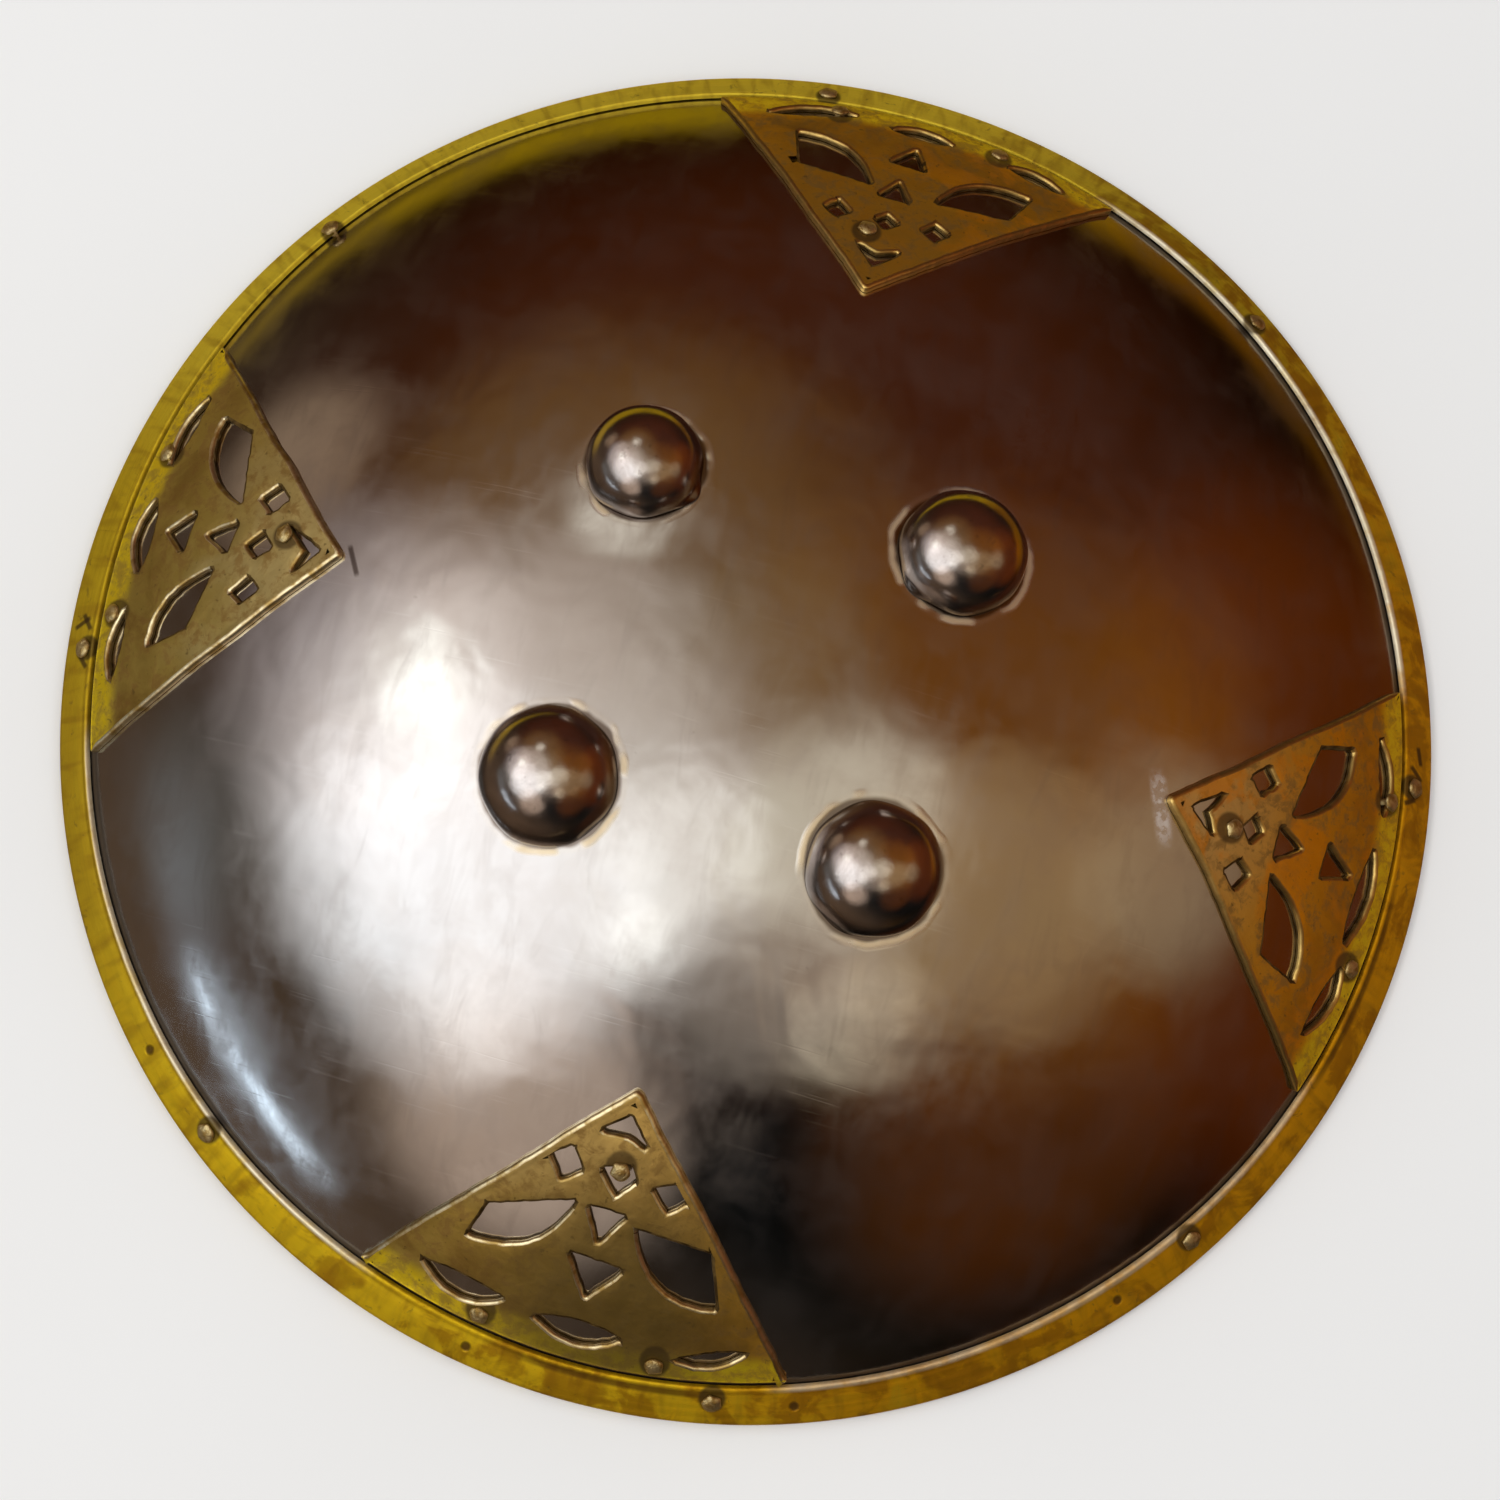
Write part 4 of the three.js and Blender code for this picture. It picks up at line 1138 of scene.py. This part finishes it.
bowl()
rim()
for i in range(4):
    plate(i)
    boss(i)
    washer(i)
rivets()
grip(1, 1)
grip(2, -1)


# Floor, light and camera
def stage():
    shader = Shader("pale_floor")
    tone = shader.noise(shader.place, 0.004, 2.0)
    shader.color = shader.mix(shader.remap(tone, 0.3, 0.7), (0.86, 0.855, 0.85), (0.88, 0.877, 0.872))
    material = shader.finish(0.9, 0.0)
    mesh = bpy.data.meshes.new("floor")
    mesh.from_pydata([(-4, -4, 0), (4, -4, 0), (4, 4, 0), (-4, 4, 0)], [], [(0, 1, 2, 3)])
    mesh.materials.append(material)
    floor = bpy.data.objects.new("floor", mesh)
    bpy.context.scene.collection.objects.link(floor)
    floor.visible_glossy = False


class Studio(Wiring):
    """The room that the metal mirrors, as soft patches of light by direction."""

    def __init__(self, world):
        super().__init__(world.node_tree)
        self.way = self.vector("NORMALIZE", self.node("TexCoord").outputs["Generated"])
        self.rise = self.split(self.way)[2]

    def patch(self, azimuth, elevation, core, fade):
        """1 within so many degrees of a direction, 0 beyond the fade."""
        a, e = math.radians(azimuth), math.radians(elevation)
        middle = (math.cos(a) * math.cos(e), math.sin(a) * math.cos(e), math.sin(e))
        inner, outer = math.cos(math.radians(core)), math.cos(math.radians(core + fade))
        return self.remap(self.dot(self.way, middle), outer, inner)

    def add(self, color, mask, light):
        return self.mix(mask, color, light, "ADD")


ROOM = (0.001, 0.0015, 0.0015)
ROOM_LIGHTS = [  # azimuth, elevation, width and soft edge in degrees, and how much of each colour
    (-158, 58, 11, 29, (0.60, 0.59, 0.575)),
    (-144, 49, 7, 21, (1.00, 1.08, 1.16)),
    (-137, -39, 1, 94, (0.126, 0.080, 0.048)),
    (-107, 35, 8, 15, (0.53, 0.42, 0.34)),
    (180, 39, 8, 17, (0.365, 0.35, 0.36)),
    (100, 59, 33, 51, (0.067, 0.016, 0.002)),
    (-107, 75, 3, 12, (0.70, 0.73, 0.72)),
    (-22, 75, 2, 16, (0.56, 0.58, 0.50)),
    (138, 58, 12, 29, (0.118, 0.079, 0.03)),
    (11, 58, 12, 35, (0.116, 0.045, 0.0)),
    (14, 9, 17, 27, (0.106, 0.025, 0.0)),
    (-11, 53, 7, 15, (0.20, 0.17, 0.10)),
    (-73, 63, 7, 10, (0.22, 0.20, 0.17)),
    (-106, 61, 2, 6, (0.83, 0.88, 0.87)),
    (-143, 87, 6, 25, (0.04, 0.06, 0.05)),
    (131, 53, 2, 6, (0.79, 0.83, 0.77)),
    (-49, 53, 2, 9, (0.52, 0.475, 0.36)),
    (180, 47, 1, 6, (0.77, 0.91, 0.88)),
    (5, 31, 3, 13, (0.135, 0.16, 0.12)),
    (158, 14, 4, 9, (0.245, 0.185, 0.127)),
    (-36, 29, 6, 23, (0.08, 0.027, 0.005)),
    (-163, 15, 3, 12, (0.04, 0.055, 0.06)),
]
TABLES = [  # azimuth, width, soft edge and colour of what lies below eye level on the far side
    (124, 30, 26, (0.31, 0.205, 0.003)),
    (48, 20, 24, (0.17, 0.065, 0.0)),
]


def studio():
    world = bpy.data.worlds.new("studio")
    bpy.context.scene.world = world
    world.use_nodes = True
    s = Studio(world)
    color = ROOM
    for *where, light in ROOM_LIGHTS:
        color = s.add(color, s.patch(*where), light)
    # The dim side of the room is warmer
    dim = s.remap(s.dot(color, (1, 0, 0)), 0.06, 0.24, 1.0, 0.0)
    dim = s.times(dim, s.remap(s.dot(s.way, (0.77, 0.64, 0)), -0.35, 0.1))
    color = s.mix(dim, color, (0.95, 0.70, 0.28), "MULTIPLY")
    low = s.remap(s.rise, -0.24, -0.13, 1.0, 0.0)
    for azimuth, width, edge, light in TABLES:
        color = s.add(color, s.times(low, s.patch(azimuth, -14, width, edge)), light)
    # A long low window and the pale wall round it
    window = s.times(s.between(s.rise, 0.125, 0.15, 0.16, 0.185), s.patch(-135, 9, 7, 9))
    color = s.add(color, window, (1.45, 1.85, 2.25))
    wall = s.times(s.between(s.rise, 0.05, 0.15, 0.16, 0.34), s.patch(-147, 10, 8, 17))
    color = s.add(color, wall, (0.08, 0.105, 0.13))
    # What isn't mirrored is lit evenly
    mirrored, plain = s.node("Background"), s.node("Background")
    s.put(mirrored.inputs[0], color)
    s.put(plain.inputs[0], (0.95, 0.95, 0.95))
    s.put(plain.inputs[1], 0.85)
    glossy = s.node("LightPath").outputs["Is Glossy Ray"]
    choice = s.fill(s.node("MixShader"), glossy, plain.outputs[0], mirrored.outputs[0])
    s.put(s.node("OutputWorld").inputs[0], choice)


def lamp():
    """A soft lamp overhead on the left, which gives the floor its shadow and isn't mirrored."""
    light = bpy.data.lights.new("key", "AREA")
    light.shape = "DISK"
    light.size = 0.5
    light.energy = 6
    light.color = (1.0, 0.97, 0.93)
    key = bpy.data.objects.new("key", light)
    key.location = (-0.9, -0.35, 1.5)
    key.rotation_euler = key.location.to_track_quat("Z", "Y").to_euler()
    key.visible_glossy = False
    bpy.context.scene.collection.objects.link(key)


CAMERA_TILT = math.radians(10.74)       # of the shield's axis away from the line of sight
CAMERA_WAY = math.radians(81.96)        # which way it leans in the picture
CAMERA_ROLL = math.radians(-16.14)
CAMERA_DISTANCE = 549                   # millimetres
CAMERA_ASIDE = (0.06, 6.92)
PICTURE = 1500
FOCAL = 2457.5                          # in pixels of the picture


def camera():
    lean = Vector((
        math.sin(CAMERA_TILT) * math.cos(CAMERA_WAY), math.sin(CAMERA_TILT) * math.sin(CAMERA_WAY),
        math.cos(CAMERA_TILT),
    ))
    to_camera = Vector((0, 0, 1)).rotation_difference(lean).to_matrix() @ Matrix.Rotation(CAMERA_ROLL, 3, "Z")
    away = Vector((CAMERA_ASIDE[0], CAMERA_ASIDE[1], -CAMERA_DISTANCE))
    data = bpy.data.cameras.new("camera")
    data.sensor_width = 36
    data.lens = data.sensor_width * FOCAL / PICTURE
    data.clip_start = 0.01
    seen = bpy.data.objects.new("camera", data)
    back = to_camera.transposed()
    seen.matrix_world = Matrix.Translation(-(back @ away) * MM) @ back.to_4x4()
    bpy.context.scene.collection.objects.link(seen)
    bpy.context.scene.camera = seen


stage()
studio()
lamp()
camera()
bpy.context.scene.view_settings.view_transform = "Standard"
